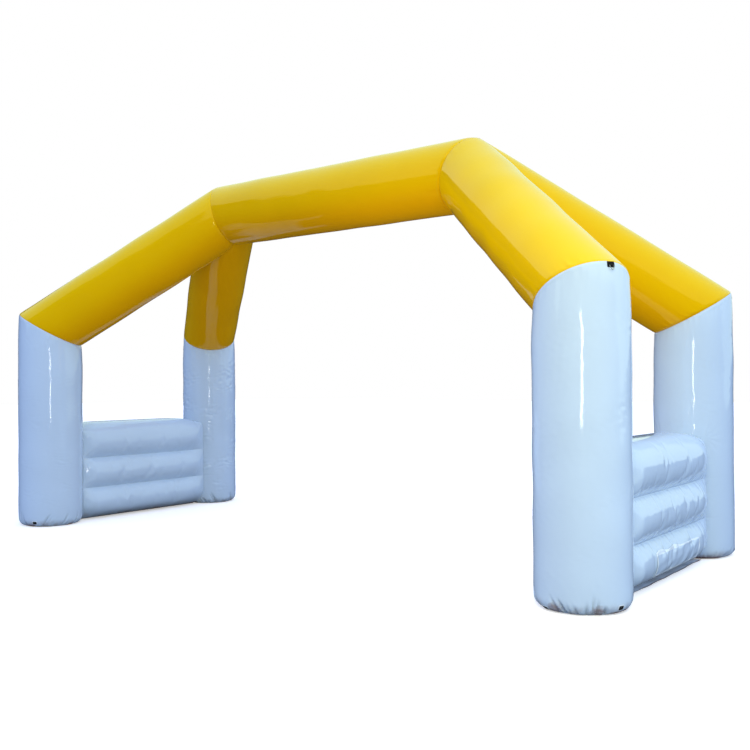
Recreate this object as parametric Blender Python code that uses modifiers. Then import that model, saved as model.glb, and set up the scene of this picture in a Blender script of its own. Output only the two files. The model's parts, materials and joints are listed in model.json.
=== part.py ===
"""Inflatable arch: a hip frame of air tubes with a three-chamber wall at each end.

Four upright legs carry four sloping rafters, which meet in pairs at the two ends of a
level ridge. All the tubes are sewn to each other at mitred seams. At each end a low
wall of three stacked chambers joins two legs. Metres, +Z up, origin on the ground
under the middle of the ridge, +X along the ridge. The front is the -Y side.
"""

import math

import bmesh
import bpy
from mathutils import Matrix, Vector
from mathutils.bvhtree import BVHTree

# Axes of the tubes
LEG_X = 3.290
LEG_Y = 1.219
EAVES_Z = 2.232
RIDGE_X = 1.626
RIDGE_Z = 3.531

# Tubes: full radius, radius at the seams, and the length over which they draw in
LEG_RADIUS = 0.350
BEAM_RADIUS = 0.341
SEAM_RADIUS = 0.338
LEG_PULL = 0.300
BEAM_PULL = 0.120
SEGMENTS = 40

# Length that a tube is drawn past each joint before it is cut back to its mitre
BEAM_OVERRUN = 0.700
LEG_OVERRUN = 0.350

# Rows of points beside a seam, as shares of the length that draws in
LOWER_ROWS = (0.12, 0.40, 1.0)
UPPER_ROWS = (0.25, 1.0)

# Foot of a leg: rounded rim with uneven puckers all round it
RIM_RADIUS = 0.080
RIM_STEPS = 4
PUCKER_DEPTH = 0.014
PUCKER_COUNT = 10
PUCKER_TOP = 0.170
PUCKER_SPREAD = 0.70
PUCKER_EVEN = 0.70
PUCKER_UNEVEN_WAVES = 3
PUCKER_UNEVEN_START = 1.0

# End wall: seams, crown of the chambers and how its ends draw in towards the legs
WALL_HALF = 0.200
WALL_CROWN = 0.285
WALL_FOOT_HALF = 0.115
WALL_FOOT_Z = 0.0035
LOW_GROOVE_Z = 0.380
HIGH_GROOVE_Z = 0.730
WALL_END_TOP_Z = 1.075
WALL_TOP_Z = 1.140
LOW_MIDDLE_Z = 0.200
TOP_MIDDLE_Z = 0.905
TOP_SQUARENESS = 2.6
HALF_STEPS = 4
QUARTER_STEPS = 6
DRAW_IN = 0.180
DRAW_IN_STEPS = 5
WALL_OVERRUN = 0.150

# Cover flap on the lowest chamber of the right wall, and the strip along its foot
FLAP_HALF = 0.500
FLAP_COLUMNS = 8
FLAP_THICK = 0.003
FLAP_GAP = 0.0005
STRIP_IN = 0.095
STRIP_OUT = 0.165
STRIP_HALF = 0.915
STRIP_THICK = 0.003

# Guy fitting at the top of each leg: patch, folded loop and D-ring
PATCH_WIDTH = 0.050
PATCH_HEIGHT = 0.036
PATCH_THICK = 0.002
PATCH_CORNER = 0.006
PATCH_BELOW_SEAM = 0.023
LOOP_WIDTH = 0.028
LOOP_THICK = 0.002
LOOP_RISE = 0.024
LOOP_TAPER = 0.012
BAR_BELOW_MIDDLE = 0.009
RING_INSIDE = 0.032
RING_DROP = 0.034
RING_WIRE = 0.005
RING_LEAN = math.radians(10)

# Stake tabs on the rim of each foot, as turns from the corner's own bending plane
TAB_WIDTH = 0.045
TAB_HEIGHT = 0.030
TAB_THICK = 0.004
TAB_Z = 0.050
TAB_TURNS = {"outer": math.radians(18), "inner": math.radians(-81)}
TAB_CALM = math.radians(8)
TAB_FADE = math.radians(24)

# Room between pieces, and the distance at which points are one
GAP = 0.0003
WELD = 0.000001

# The corners, as signs of X and Y
CORNERS = {
    "front_right": (1, -1),
    "front_left": (-1, -1),
    "back_right": (1, 1),
    "back_left": (-1, 1),
}

# Finishes: colour, roughness and metallic value
FINISHES = {
    "white_pvc": ((0.74, 0.82, 0.92, 1.0), 0.30, 0.0),
    "yellow_pvc": ((0.86, 0.55, 0.02, 1.0), 0.26, 0.0),
    "black_webbing": ((0.015, 0.015, 0.017, 1.0), 0.75, 0.0),
    "ring_steel": ((0.72, 0.73, 0.74, 1.0), 0.25, 1.0),
}


class Mitre:
    """Plane in which one tube is sewn to its neighbour."""

    def __init__(self, joint, along, neighbour):
        """Both directions point away from the joint, along the two tubes' axes."""
        self.joint = joint
        self.along = along
        self.normal = (along - neighbour).normalized()

    def distance(self, point):
        """Distance of a point from the plane, on the tube's own side."""
        return (point - self.joint).dot(self.normal)

    def axis_point(self, point):
        """Where the tube's axis crosses the parallel plane through the point."""
        return self.joint + self.along * (self.distance(point) / self.along.dot(self.normal))


def clear_scene():
    """Remove what the scene holds."""
    for obj in list(bpy.data.objects):
        bpy.data.objects.remove(obj)


def new_collection(name):
    """Make a collection under the scene's own."""
    collection = bpy.data.collections.new(name)
    bpy.context.scene.collection.children.link(collection)
    return collection


def make_finish(name):
    """Make the Principled material of a finish."""
    colour, roughness, metallic = FINISHES[name]
    material = bpy.data.materials.new(name)
    material.use_nodes = True
    material.diffuse_color = colour
    shader = material.node_tree.nodes["Principled BSDF"]
    shader.inputs["Base Color"].default_value = colour
    shader.inputs["Roughness"].default_value = roughness
    shader.inputs["Metallic"].default_value = metallic
    return material


def add_object(name, bm, material, collection, sharp=35):
    """Turn a closed bmesh into a named object, smooth but for its sharp edges."""
    bmesh.ops.recalc_face_normals(bm, faces=bm.faces)
    mesh = bpy.data.meshes.new(name)
    bm.to_mesh(mesh)
    bm.free()
    mesh.shade_smooth()
    mesh.set_sharp_from_angle(angle=math.radians(sharp))
    mesh.materials.append(material)
    obj = bpy.data.objects.new(name, mesh)
    collection.objects.link(obj)
    return obj


def add_at_corners(name, bm, material, collection):
    """Place the front right shape and its mirror images at the four corners."""
    for corner, (side_x, side_y) in CORNERS.items():
        copy = bm.copy()
        bmesh.ops.scale(copy, vec=(side_x, -side_y, 1.0), verts=copy.verts)
        add_object(f"{name}_{corner}", copy, material, collection)
    bm.free()


def bmesh_of(obj):
    """Read an object as its modifiers or curve settings make it, then remove it."""
    depsgraph = bpy.context.evaluated_depsgraph_get()
    mesh = bpy.data.meshes.new_from_object(obj.evaluated_get(depsgraph))
    bm = bmesh.new()
    bm.from_mesh(mesh)
    bmesh.ops.remove_doubles(bm, verts=bm.verts, dist=WELD)
    bpy.data.objects.remove(obj)
    bpy.data.meshes.remove(mesh)
    return bm


def turned(profile):
    """Turn a profile of (radius, height) points about the vertical axis."""
    mesh = bpy.data.meshes.new("profile")
    points = [(radius, 0.0, height) for radius, height in profile]
    edges = [(index, index + 1) for index in range(len(points) - 1)]
    mesh.from_pydata(points, edges, [])
    obj = bpy.data.objects.new("profile", mesh)
    bpy.context.scene.collection.objects.link(obj)
    screw = obj.modifiers.new("turn", "SCREW")
    screw.steps = SEGMENTS
    screw.render_steps = SEGMENTS
    screw.use_merge_vertices = True
    screw.merge_threshold = 0.00001
    return bmesh_of(obj)


def curve_object(dimensions):
    """Make an empty curve object in the scene."""
    curve = bpy.data.curves.new("outline", "CURVE")
    curve.dimensions = dimensions
    obj = bpy.data.objects.new("outline", curve)
    bpy.context.scene.collection.objects.link(obj)
    return obj


def add_loop(curve, points):
    """Add one closed spline of straight stretches to a curve."""
    spline = curve.splines.new("POLY")
    spline.points.add(len(points) - 1)
    for place, point in zip(spline.points, points):
        place.co = (*point, 1.0)
    spline.use_cyclic_u = True


def filled_plate(loops, thickness):
    """Flat plate from an outer loop and its holes, of the given thickness about z = 0."""
    obj = curve_object("2D")
    obj.data.fill_mode = "BOTH"
    obj.data.extrude = thickness / 2
    for loop in loops:
        add_loop(obj.data, [(x, y, 0.0) for x, y in loop])
    return bmesh_of(obj)


def arc_points(centre, radius, first, last, steps):
    """Points on an arc between two angles in degrees, ends included."""
    angles = [math.radians(first + (last - first) * step / steps) for step in range(steps + 1)]
    return [(centre[0] + radius * math.cos(a), centre[1] + radius * math.sin(a)) for a in angles]


def rounded_rectangle(width, height, corner):
    """Outline of a rectangle about the origin, with round corners."""
    across = width / 2 - corner
    up = height / 2 - corner
    outline = []
    for centre, first in (((across, up), 0), ((-across, up), 90), ((-across, -up), 180), ((across, -up), 270)):
        outline.extend(arc_points(centre, corner, first, first + 90, 2))
    return outline


def cut_plane(bm, mitre, offset, clear):
    """Cut across a tube parallel to a mitre, and give back the new edges."""
    cut = bmesh.ops.bisect_plane(
        bm,
        geom=bm.verts[:] + bm.edges[:] + bm.faces[:],
        dist=WELD,
        plane_co=mitre.joint + mitre.normal * offset,
        plane_no=mitre.normal,
        clear_inner=clear,
    )
    return [item for item in cut["geom_cut"] if isinstance(item, bmesh.types.BMEdge)]


def finish_end(bm, mitre, rows, pull):
    """Cut a tube back to its mitre, close it there and add rows of points beside it."""
    rim = cut_plane(bm, mitre, GAP / 2, clear=True)
    bmesh.ops.edgeloop_fill(bm, edges=rim)
    for share in rows:
        cut_plane(bm, mitre, share * pull, clear=False)


def draw_in(bm, mitres, radius, pull):
    """Narrow a tube towards each of its seams, so that neighbours meet at one radius."""
    for vert in bm.verts:
        mitre = min(mitres, key=lambda each: each.distance(vert.co))
        share = 1.0 - mitre.distance(vert.co) / pull
        if share > 0.0:
            centre = mitre.axis_point(vert.co)
            size = 1.0 - (1.0 - SEAM_RADIUS / radius) * share ** 2
            vert.co = centre + (vert.co - centre) * size
    bmesh.ops.recalc_face_normals(bm, faces=bm.faces)


def beam(start, end):
    """Closed cylinder along an axis, with one row of points along its lowest side."""
    axis = (end - start).normalized()
    down = Vector((0.0, 0.0, -1.0))
    side = (down - axis * down.dot(axis)).normalized()
    turn = Matrix((side, axis.cross(side), axis)).transposed().to_4x4()
    bm = bmesh.new()
    bmesh.ops.create_cone(
        bm,
        cap_ends=True,
        segments=SEGMENTS,
        radius1=BEAM_RADIUS,
        radius2=BEAM_RADIUS,
        depth=(end - start).length + 2 * BEAM_OVERRUN,
    )
    bmesh.ops.transform(bm, matrix=Matrix.Translation((start + end) / 2) @ turn, verts=bm.verts)
    return bm


def leg_profile():
    """Half outline of a leg, down its outer side from above the mitre to the ground."""
    flat = LEG_RADIUS - RIM_RADIUS
    top = EAVES_Z + LEG_OVERRUN
    profile = [(0.0, top), (LEG_RADIUS, top), (LEG_RADIUS, PUCKER_TOP)]
    profile.append((LEG_RADIUS, (PUCKER_TOP + RIM_RADIUS) / 2))
    profile.extend(arc_points((flat, RIM_RADIUS), RIM_RADIUS, 0, -90, RIM_STEPS))
    profile.append((0.0, 0.0))
    return profile


def pucker_depth(turn):
    """Depth of the foot's puckers at a turn from the bending plane, none at the tabs."""
    wave = 0.5 - 0.5 * math.cos(PUCKER_COUNT * turn)
    uneven = math.sin(PUCKER_UNEVEN_WAVES * turn + PUCKER_UNEVEN_START)
    share = 1.0
    for tab_turn in TAB_TURNS.values():
        away = abs(math.remainder(turn - tab_turn, 2 * math.pi))
        share = min(share, max(0.0, (away - TAB_CALM) / (TAB_FADE - TAB_CALM)))
    return PUCKER_DEPTH * share * wave * (PUCKER_EVEN + (1.0 - PUCKER_EVEN) * uneven)


def pucker_foot(bm):
    """Pull the foot's rim inwards in shallow folds that fade out up the leg."""
    for vert in bm.verts:
        out = math.hypot(vert.co.x, vert.co.y)
        if vert.co.z < PUCKER_TOP and out > WELD:
            share = PUCKER_SPREAD * (1.0 - vert.co.z / PUCKER_TOP) ** 2
            depth = pucker_depth(math.atan2(vert.co.y, vert.co.x)) * math.sin(math.pi * share)
            vert.co.x *= 1.0 - depth / out
            vert.co.y *= 1.0 - depth / out


def bend_angle():
    """Direction in plan from the front right corner away from the ridge."""
    return math.atan2(-LEG_Y, LEG_X - RIDGE_X)


def make_leg(foot, mitre):
    """Leg at the front right corner, its first row of points in the bending plane."""
    bm = turned(leg_profile())
    pucker_foot(bm)
    place = Matrix.Translation(foot) @ Matrix.Rotation(bend_angle(), 4, "Z")
    bmesh.ops.transform(bm, matrix=place, verts=bm.verts)
    finish_end(bm, mitre, LOWER_ROWS, LEG_PULL)
    draw_in(bm, [mitre], LEG_RADIUS, LEG_PULL)
    return bm


def make_rafter(mitres, eaves, ridge_end):
    """Rafter at the front right corner, from its leg up to the end of the ridge."""
    bm = beam(eaves, ridge_end)
    for mitre, rows in zip(mitres, (LOWER_ROWS, UPPER_ROWS, UPPER_ROWS)):
        finish_end(bm, mitre, rows, BEAM_PULL)
    draw_in(bm, mitres, BEAM_RADIUS, BEAM_PULL)
    return bm


def make_ridge(mitres, ridge_end):
    """Level ridge, cut to a point at each end between the two rafters that it meets."""
    other_end = Vector((-ridge_end.x, ridge_end.y, ridge_end.z))
    bm = beam(other_end, ridge_end)
    for mitre in mitres:
        finish_end(bm, mitre, UPPER_ROWS, BEAM_PULL)
    draw_in(bm, mitres, BEAM_RADIUS, BEAM_PULL)
    return bm


def chamber_crown(share):
    """Thickness of a crowned chamber from its middle line (0) to its groove (1)."""
    chord = (HIGH_GROOVE_Z - LOW_GROOVE_Z) / 2
    crown = WALL_CROWN - WALL_HALF
    bend = (chord ** 2 + crown ** 2) / (2 * crown)
    return WALL_HALF + math.sqrt(bend ** 2 - (share * chord) ** 2) - (bend - crown)


def half_section():
    """One half of the wall's section, from the middle of its top down to its foot.

    Each row holds the thickness and height at a leg, then those at mid-span.
    """
    rows = []
    power = 2 / TOP_SQUARENESS
    for step in range(QUARTER_STEPS + 1):
        angle = math.radians(90 * (1 - step / QUARTER_STEPS))
        out = max(0.0, math.cos(angle)) ** power
        up = math.sin(angle) ** power
        end_z = TOP_MIDDLE_Z + (WALL_END_TOP_Z - TOP_MIDDLE_Z) * up
        crown_z = TOP_MIDDLE_Z + (WALL_TOP_Z - TOP_MIDDLE_Z) * up
        rows.append((WALL_HALF * out, end_z, WALL_CROWN * out, crown_z))
    middle = (LOW_GROOVE_Z + HIGH_GROOVE_Z) / 2
    stretches = (
        (TOP_MIDDLE_Z, HIGH_GROOVE_Z, 0, 1),
        (HIGH_GROOVE_Z, middle, 1, 0),
        (middle, LOW_GROOVE_Z, 0, 1),
        (LOW_GROOVE_Z, LOW_MIDDLE_Z, 1, 0),
    )
    for high, low, first, last in stretches:
        for step in range(1, HALF_STEPS + 1):
            share = step / HALF_STEPS
            z = high + (low - high) * share
            rows.append((WALL_HALF, z, chamber_crown(first + (last - first) * share), z))
    for step in range(1, QUARTER_STEPS + 1):
        angle = math.radians(90 * step / QUARTER_STEPS)
        z = LOW_MIDDLE_Z - (LOW_MIDDLE_Z - WALL_FOOT_Z) * math.sin(angle)
        end_x = WALL_FOOT_HALF + (WALL_HALF - WALL_FOOT_HALF) * math.cos(angle)
        crown_x = WALL_FOOT_HALF + (WALL_CROWN - WALL_FOOT_HALF) * math.cos(angle)
        rows.append((end_x, z, crown_x, z))
    return rows


def wall_stations():
    """Distance from the leg's surface and share of the crown, from one end to mid-span."""
    stations = []
    for step in range(DRAW_IN_STEPS + 1):
        angle = math.radians(90 * step / DRAW_IN_STEPS)
        stations.append((DRAW_IN * (1 - math.cos(angle)), math.sin(angle)))
    return stations


def leg_surface_y(thickness):
    """How far from mid-span the leg's surface lies, at a distance from the wall's middle."""
    return LEG_Y - math.sqrt(LEG_RADIUS ** 2 - thickness ** 2)


def add_ring(bm, centre_x, end, distance, share):
    """Add one ring of the wall's section, at a distance from the leg at one end."""
    half = half_section()
    ring = []
    for side, rows in ((1, half), (-1, list(reversed(half[1:])))):
        for end_x, end_z, crown_x, crown_z in rows:
            x = side * (end_x + (crown_x - end_x) * share)
            y = end * (leg_surface_y(end_x) - distance)
            z = end_z + (crown_z - end_z) * share
            ring.append(bm.verts.new((centre_x + x, y, z)))
    return ring


def make_wall(centre_x):
    """Loft of the wall's sections from inside one leg to inside the other."""
    bm = bmesh.new()
    stations = [(-WALL_OVERRUN, 0.0)] + wall_stations()
    rings = [add_ring(bm, centre_x, -1, distance, share) for distance, share in stations]
    rings += [add_ring(bm, centre_x, 1, distance, share) for distance, share in reversed(stations)]
    for first, second in zip(rings, rings[1:]):
        for index in range(-1, len(first) - 1):
            bm.faces.new((first[index], first[index + 1], second[index + 1], second[index]))
    bm.faces.new(rings[0])
    bm.faces.new(rings[-1])
    return bm


def add_wall(name, centre_x, material, parts, cutters):
    """Wall between two legs, with its ends hollowed to fit against them."""
    wall = add_object(name, make_wall(centre_x), material, parts, sharp=25)
    for end, side in ((-1, "front"), (1, "back")):
        radius = LEG_RADIUS + GAP
        bm = bmesh.new()
        bmesh.ops.create_cone(
            bm, cap_ends=True, segments=SEGMENTS, radius1=radius, radius2=radius, depth=2 * EAVES_Z
        )
        bmesh.ops.translate(bm, vec=(centre_x, end * LEG_Y, 0.0), verts=bm.verts)
        cutter = add_object(f"{name}_cutter_{side}", bm, material, cutters)
        cutter.hide_render = True
        cutter.display_type = "WIRE"
        cut = wall.modifiers.new("fit to leg", "BOOLEAN")
        cut.operation = "DIFFERENCE"
        cut.solver = "EXACT"
        cut.object = cutter


def make_flap():
    """Outer face of the right wall's lowest chamber where the flap lies, as a surface."""
    low_groove = QUARTER_STEPS + 3 * HALF_STEPS
    rows = half_section()[low_groove + 2:low_groove + HALF_STEPS + 3]
    bm = bmesh.new()
    grid = []
    for column in range(FLAP_COLUMNS + 1):
        y = FLAP_HALF * (2 * column / FLAP_COLUMNS - 1)
        grid.append([bm.verts.new((LEG_X + crown_x, y, z)) for _, _, crown_x, z in rows])
    for left, right in zip(grid, grid[1:]):
        for index in range(len(rows) - 1):
            bm.faces.new((left[index], left[index + 1], right[index + 1], right[index]))
    bm.normal_update()
    if bm.faces[:][0].normal.x < 0:
        bmesh.ops.reverse_faces(bm, faces=bm.faces)
    for vert in bm.verts:
        vert.co += vert.normal * FLAP_GAP
    return bm


def add_flap(material, parts):
    """Cover flap on the right wall, which Solidify gives its thickness outwards."""
    bm = make_flap()
    mesh = bpy.data.meshes.new("wall_flap")
    bm.to_mesh(mesh)
    bm.free()
    mesh.materials.append(material)
    flap = bpy.data.objects.new("wall_flap", mesh)
    parts.objects.link(flap)
    cloth = flap.modifiers.new("cloth", "SOLIDIFY")
    cloth.thickness = FLAP_THICK
    cloth.offset = 1.0


def make_strip():
    """Flat strip of cloth on the ground, held by the seam under the right wall."""
    bm = bmesh.new()
    bmesh.ops.create_cube(bm, size=1.0)
    size = (STRIP_OUT - STRIP_IN, 2 * STRIP_HALF, STRIP_THICK)
    bmesh.ops.scale(bm, vec=size, verts=bm.verts)
    centre = (LEG_X + (STRIP_IN + STRIP_OUT) / 2, 0.0, STRIP_THICK / 2)
    bmesh.ops.translate(bm, vec=centre, verts=bm.verts)
    return bm


def surface_frame(tree, turn, height):
    """Frame on the front right leg's surface: x across, y up and z out of it."""
    angle = bend_angle() + turn
    out = Vector((math.cos(angle), math.sin(angle), 0.0))
    start = Vector((LEG_X, -LEG_Y, height)) + out
    place, normal, _, _ = tree.ray_cast(start, -out)
    across = Vector((0.0, 0.0, 1.0)).cross(normal).normalized()
    axes = Matrix((across, normal.cross(across), normal)).transposed().to_4x4()
    return Matrix.Translation(place) @ axes


def loop_section():
    """Section of the webbing loop, folded round the ring's bar, and the bar's hole.

    x runs out from the patch and y up, with the bar at the height 0.
    """
    hole = RING_WIRE / 2 + GAP
    fold = hole + LOOP_THICK
    sewn = 2 * LOOP_THICK
    outline = arc_points((fold, 0.0), fold, 180, 360, 6)
    outline += [(2 * fold, LOOP_THICK), (sewn, LOOP_TAPER), (sewn, LOOP_RISE), (0.0, LOOP_RISE)]
    return [outline, arc_points((fold, 0.0), hole, 0, 324, 9)]


def make_loop(frame):
    """Webbing loop sewn on the patch, with the ring's bar in its fold."""
    bm = filled_plate(loop_section(), LOOP_WIDTH)
    stand = Matrix(((0.0, 0.0, 1.0), (0.0, 1.0, 0.0), (1.0, 0.0, 0.0))).to_4x4()
    lift = Matrix.Translation((0.0, -BAR_BELOW_MIDDLE, 2 * GAP + PATCH_THICK))
    bmesh.ops.transform(bm, matrix=frame @ lift @ stand, verts=bm.verts)
    return bm


def make_ring(frame):
    """D-ring of round wire, hanging from its straight bar and leaning out a little."""
    obj = curve_object("3D")
    obj.data.bevel_depth = RING_WIRE / 2
    obj.data.bevel_resolution = 1
    reach = (RING_INSIDE + RING_WIRE) / 2
    stretch = (RING_DROP - RING_WIRE / 2) / reach
    bow = arc_points((0.0, 0.0), reach, 180, 360, 8)
    add_loop(obj.data, [(x, y * stretch, 0.0) for x, y in bow])
    bm = bmesh_of(obj)
    bar_out = 3 * GAP + PATCH_THICK + LOOP_THICK + RING_WIRE / 2
    lift = Matrix.Translation((0.0, -BAR_BELOW_MIDDLE, bar_out))
    lean = Matrix.Rotation(-RING_LEAN, 4, "X")
    bmesh.ops.transform(bm, matrix=frame @ lift @ lean, verts=bm.verts)
    return bm


def make_webbing_patch(frame, width, height, thickness):
    """Flat patch of webbing with round corners, lying on a surface frame."""
    bm = filled_plate([rounded_rectangle(width, height, PATCH_CORNER)], thickness)
    lift = Matrix.Translation((0.0, 0.0, thickness / 2 + GAP))
    bmesh.ops.transform(bm, matrix=frame @ lift, verts=bm.verts)
    return bm


def add_guy_fittings(tree, mitre, materials, parts):
    """Patch, loop and ring just below the seam at the top of each leg."""
    turn = math.pi / SEGMENTS
    away = Vector((math.cos(bend_angle()), math.sin(bend_angle()), 0.0))
    seam_z = EAVES_Z - away.dot(mitre.normal) / mitre.normal.z * SEAM_RADIUS * math.cos(turn)
    frame = surface_frame(tree, turn, seam_z - PATCH_BELOW_SEAM)
    patch = make_webbing_patch(frame, PATCH_WIDTH, PATCH_HEIGHT, PATCH_THICK)
    add_at_corners("guy_patch", patch, materials["black_webbing"], parts)
    add_at_corners("guy_loop", make_loop(frame), materials["black_webbing"], parts)
    add_at_corners("guy_ring", make_ring(frame), materials["ring_steel"], parts)


def add_stake_tabs(tree, materials, parts):
    """Folded webbing tabs on the rim of each foot."""
    for side, turn in TAB_TURNS.items():
        frame = surface_frame(tree, turn, TAB_Z)
        tab = make_webbing_patch(frame, TAB_WIDTH, TAB_HEIGHT, TAB_THICK)
        add_at_corners(f"stake_tab_{side}", tab, materials["black_webbing"], parts)


def main():
    """Build the arch from the front right corner outwards."""
    clear_scene()
    parts = new_collection("inflatable_arch")
    cutters = new_collection("cutters")
    materials = {name: make_finish(name) for name in FINISHES}

    foot = Vector((LEG_X, -LEG_Y, 0.0))
    eaves = Vector((LEG_X, -LEG_Y, EAVES_Z))
    ridge_end = Vector((RIDGE_X, 0.0, RIDGE_Z))
    down = Vector((0.0, 0.0, -1.0))
    inwards = Vector((-1.0, 0.0, 0.0))
    uphill = (ridge_end - eaves).normalized()
    downhill = -uphill
    downhill_back = Vector((downhill.x, -downhill.y, downhill.z))

    leg_mitre = Mitre(eaves, down, uphill)
    leg = make_leg(foot, leg_mitre)
    tree = BVHTree.FromBMesh(leg)
    add_at_corners("leg", leg, materials["white_pvc"], parts)

    rafter_mitres = [
        Mitre(eaves, uphill, down),
        Mitre(ridge_end, downhill, downhill_back),
        Mitre(ridge_end, downhill, inwards),
    ]
    add_at_corners("rafter", make_rafter(rafter_mitres, eaves, ridge_end), materials["yellow_pvc"], parts)

    ridge_mitres = []
    for side in (1, -1):
        end = Vector((side * ridge_end.x, 0.0, ridge_end.z))
        for rafter in (downhill, downhill_back):
            away = Vector((side * rafter.x, rafter.y, rafter.z))
            ridge_mitres.append(Mitre(end, inwards * side, away))
    add_object("ridge", make_ridge(ridge_mitres, ridge_end), materials["yellow_pvc"], parts)

    add_wall("wall_right", LEG_X, materials["white_pvc"], parts, cutters)
    add_wall("wall_left", -LEG_X, materials["white_pvc"], parts, cutters)
    add_flap(materials["white_pvc"], parts)
    add_object("ground_strip", make_strip(), materials["white_pvc"], parts)
    add_guy_fittings(tree, leg_mitre, materials, parts)
    add_stake_tabs(tree, materials, parts)


main()
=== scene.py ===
"""Looks of an inflatable arch: puckered air tubes, crowned end walls, webbing and stitches.

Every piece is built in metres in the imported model's own frame, and stands for the plain
solid in the same place. The arch is symmetric, so a piece at a corner is shaped at the
front right corner first and then mirrored into place.
"""

import json
import logging
import math
from dataclasses import dataclass
from enum import Enum
from typing import Callable, Iterable, Sequence

import bmesh
import bpy
import numpy as np
from mathutils import Matrix, Vector
from mathutils.bvhtree import BVHTree

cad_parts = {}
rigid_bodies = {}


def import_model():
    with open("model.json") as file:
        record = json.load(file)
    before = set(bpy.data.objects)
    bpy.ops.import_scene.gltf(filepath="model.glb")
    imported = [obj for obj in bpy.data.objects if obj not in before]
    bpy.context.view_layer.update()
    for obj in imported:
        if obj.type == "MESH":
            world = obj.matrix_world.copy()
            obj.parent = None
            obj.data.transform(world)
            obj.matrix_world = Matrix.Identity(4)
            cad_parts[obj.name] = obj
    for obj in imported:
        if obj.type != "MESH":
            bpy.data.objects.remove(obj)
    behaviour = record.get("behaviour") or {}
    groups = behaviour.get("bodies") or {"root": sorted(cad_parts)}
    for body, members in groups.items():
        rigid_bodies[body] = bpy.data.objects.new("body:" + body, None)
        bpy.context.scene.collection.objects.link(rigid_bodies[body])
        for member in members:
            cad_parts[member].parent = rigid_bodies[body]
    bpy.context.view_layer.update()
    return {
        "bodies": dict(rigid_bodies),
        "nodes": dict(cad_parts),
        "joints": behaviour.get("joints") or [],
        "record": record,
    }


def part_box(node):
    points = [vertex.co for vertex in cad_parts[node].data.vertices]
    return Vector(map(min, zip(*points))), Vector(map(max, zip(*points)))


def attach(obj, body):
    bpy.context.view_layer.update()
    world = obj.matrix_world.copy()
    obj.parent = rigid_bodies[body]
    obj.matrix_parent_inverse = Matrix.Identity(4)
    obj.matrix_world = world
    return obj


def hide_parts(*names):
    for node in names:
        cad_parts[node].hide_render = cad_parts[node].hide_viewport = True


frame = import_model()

logging.basicConfig(level=logging.INFO, format="%(message)s")
log = logging.getLogger("arch")

Array = np.ndarray
Move = Callable[[Array], Array]
Object = bpy.types.Object
Socket = bpy.types.NodeSocket

BODY = "root"

# Room kept between two pieces that are sewn to each other
GAP = 0.0003

# Rows of points between the edge of a tube and its stitches
STITCH_ROWS = 6


class Corner(Enum):
    """The four corners, as signs of X and Y."""

    FRONT_RIGHT = (1, -1)
    FRONT_LEFT = (-1, -1)
    BACK_RIGHT = (1, 1)
    BACK_LEFT = (-1, 1)

    @property
    def label(self) -> str:
        """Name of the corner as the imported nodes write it."""
        return self.name.lower()

    def place(self, points: Array) -> Array:
        """Mirror points from the front right corner to this one.

        Args:
            points: Points whose last axis is X, Y and Z.

        Returns:
            The mirrored points.
        """
        side_x, side_y = self.value
        return points * np.array((side_x, -side_y, 1.0))


class Slot(Enum):
    """The record's material slots."""

    WHITE = "white_pvc"
    YELLOW = "yellow_pvc"
    WEBBING = "black_webbing"
    STEEL = "ring_steel"


class Stitch(Enum):
    """Sizes of the stitches: their pitch, their length and the thickness of the thread."""

    SEAM = (0.009, 0.007, 0.0013)
    HEM = (0.0042, 0.0034, 0.0008)
    TAB = (0.0034, 0.0028, 0.0007)
    PATCH = (0.0032, 0.0026, 0.0007)


class Nodes:
    """A shader's nodes, added and linked one at a time."""

    def __init__(self, nodes: bpy.types.Nodes, links: bpy.types.NodeLinks) -> None:
        """Take the shader's nodes and links."""
        self.nodes = nodes
        self.links = links

    def add(self, kind: str, **settings: object) -> bpy.types.Node:
        """Add a node.

        Args:
            kind: Name of the node's type.
            settings: Values of the node's own properties.

        Returns:
            The new node.
        """
        node = self.nodes.new(kind)
        for key, value in settings.items():
            setattr(node, key, value)
        return node

    def join(self, source: Socket, target: Socket) -> None:
        """Link an output to an input."""
        self.links.new(source, target)

    def calculate(self, operation: str, *values: object) -> Socket:
        """Add a Math node.

        Args:
            operation: Name of the operation.
            values: Numbers or sockets for its inputs, in order.

        Returns:
            The node's output.
        """
        node = self.add("ShaderNodeMath", operation=operation)
        for socket, value in zip(node.inputs, values):
            if isinstance(value, Socket):
                self.join(value, socket)
            else:
                socket.default_value = value
        return node.outputs[0]

    def noise(self, vector: Socket, scale: float, detail: float) -> Socket:
        """Noise value between 0 and 1 at a place."""
        node = self.add("ShaderNodeTexNoise")
        node.inputs["Scale"].default_value = scale
        node.inputs["Detail"].default_value = detail
        self.join(vector, node.inputs["Vector"])
        return node.outputs["Fac"]

    def ramp(self, value: Socket, low: float, high: float) -> Socket:
        """Smooth step from 0 at the low value to 1 at the high one."""
        node = self.add("ShaderNodeMapRange", interpolation_type="SMOOTHSTEP")
        node.inputs["From Min"].default_value = low
        node.inputs["From Max"].default_value = high
        self.join(value, node.inputs["Value"])
        return node.outputs["Result"]

    def blend(self, share: object, first: object, second: object, mode: str = "MIX") -> Socket:
        """Blend two colours.

        Args:
            share: Share of the second colour, a number or a socket.
            first: Colour or socket at a share of 0.
            second: Colour or socket at a share of 1.
            mode: Name of the blend mode.

        Returns:
            The blended colour.
        """
        node = self.add("ShaderNodeMix", data_type="RGBA", blend_type=mode)
        if isinstance(share, Socket):
            self.join(share, node.inputs["Factor"])
        else:
            node.inputs["Factor"].default_value = share
        for socket, value in ((node.inputs[6], first), (node.inputs[7], second)):
            if isinstance(value, Socket):
                self.join(value, socket)
            else:
                socket.default_value = (*value, 1.0)
        return node.outputs[2]


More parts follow.
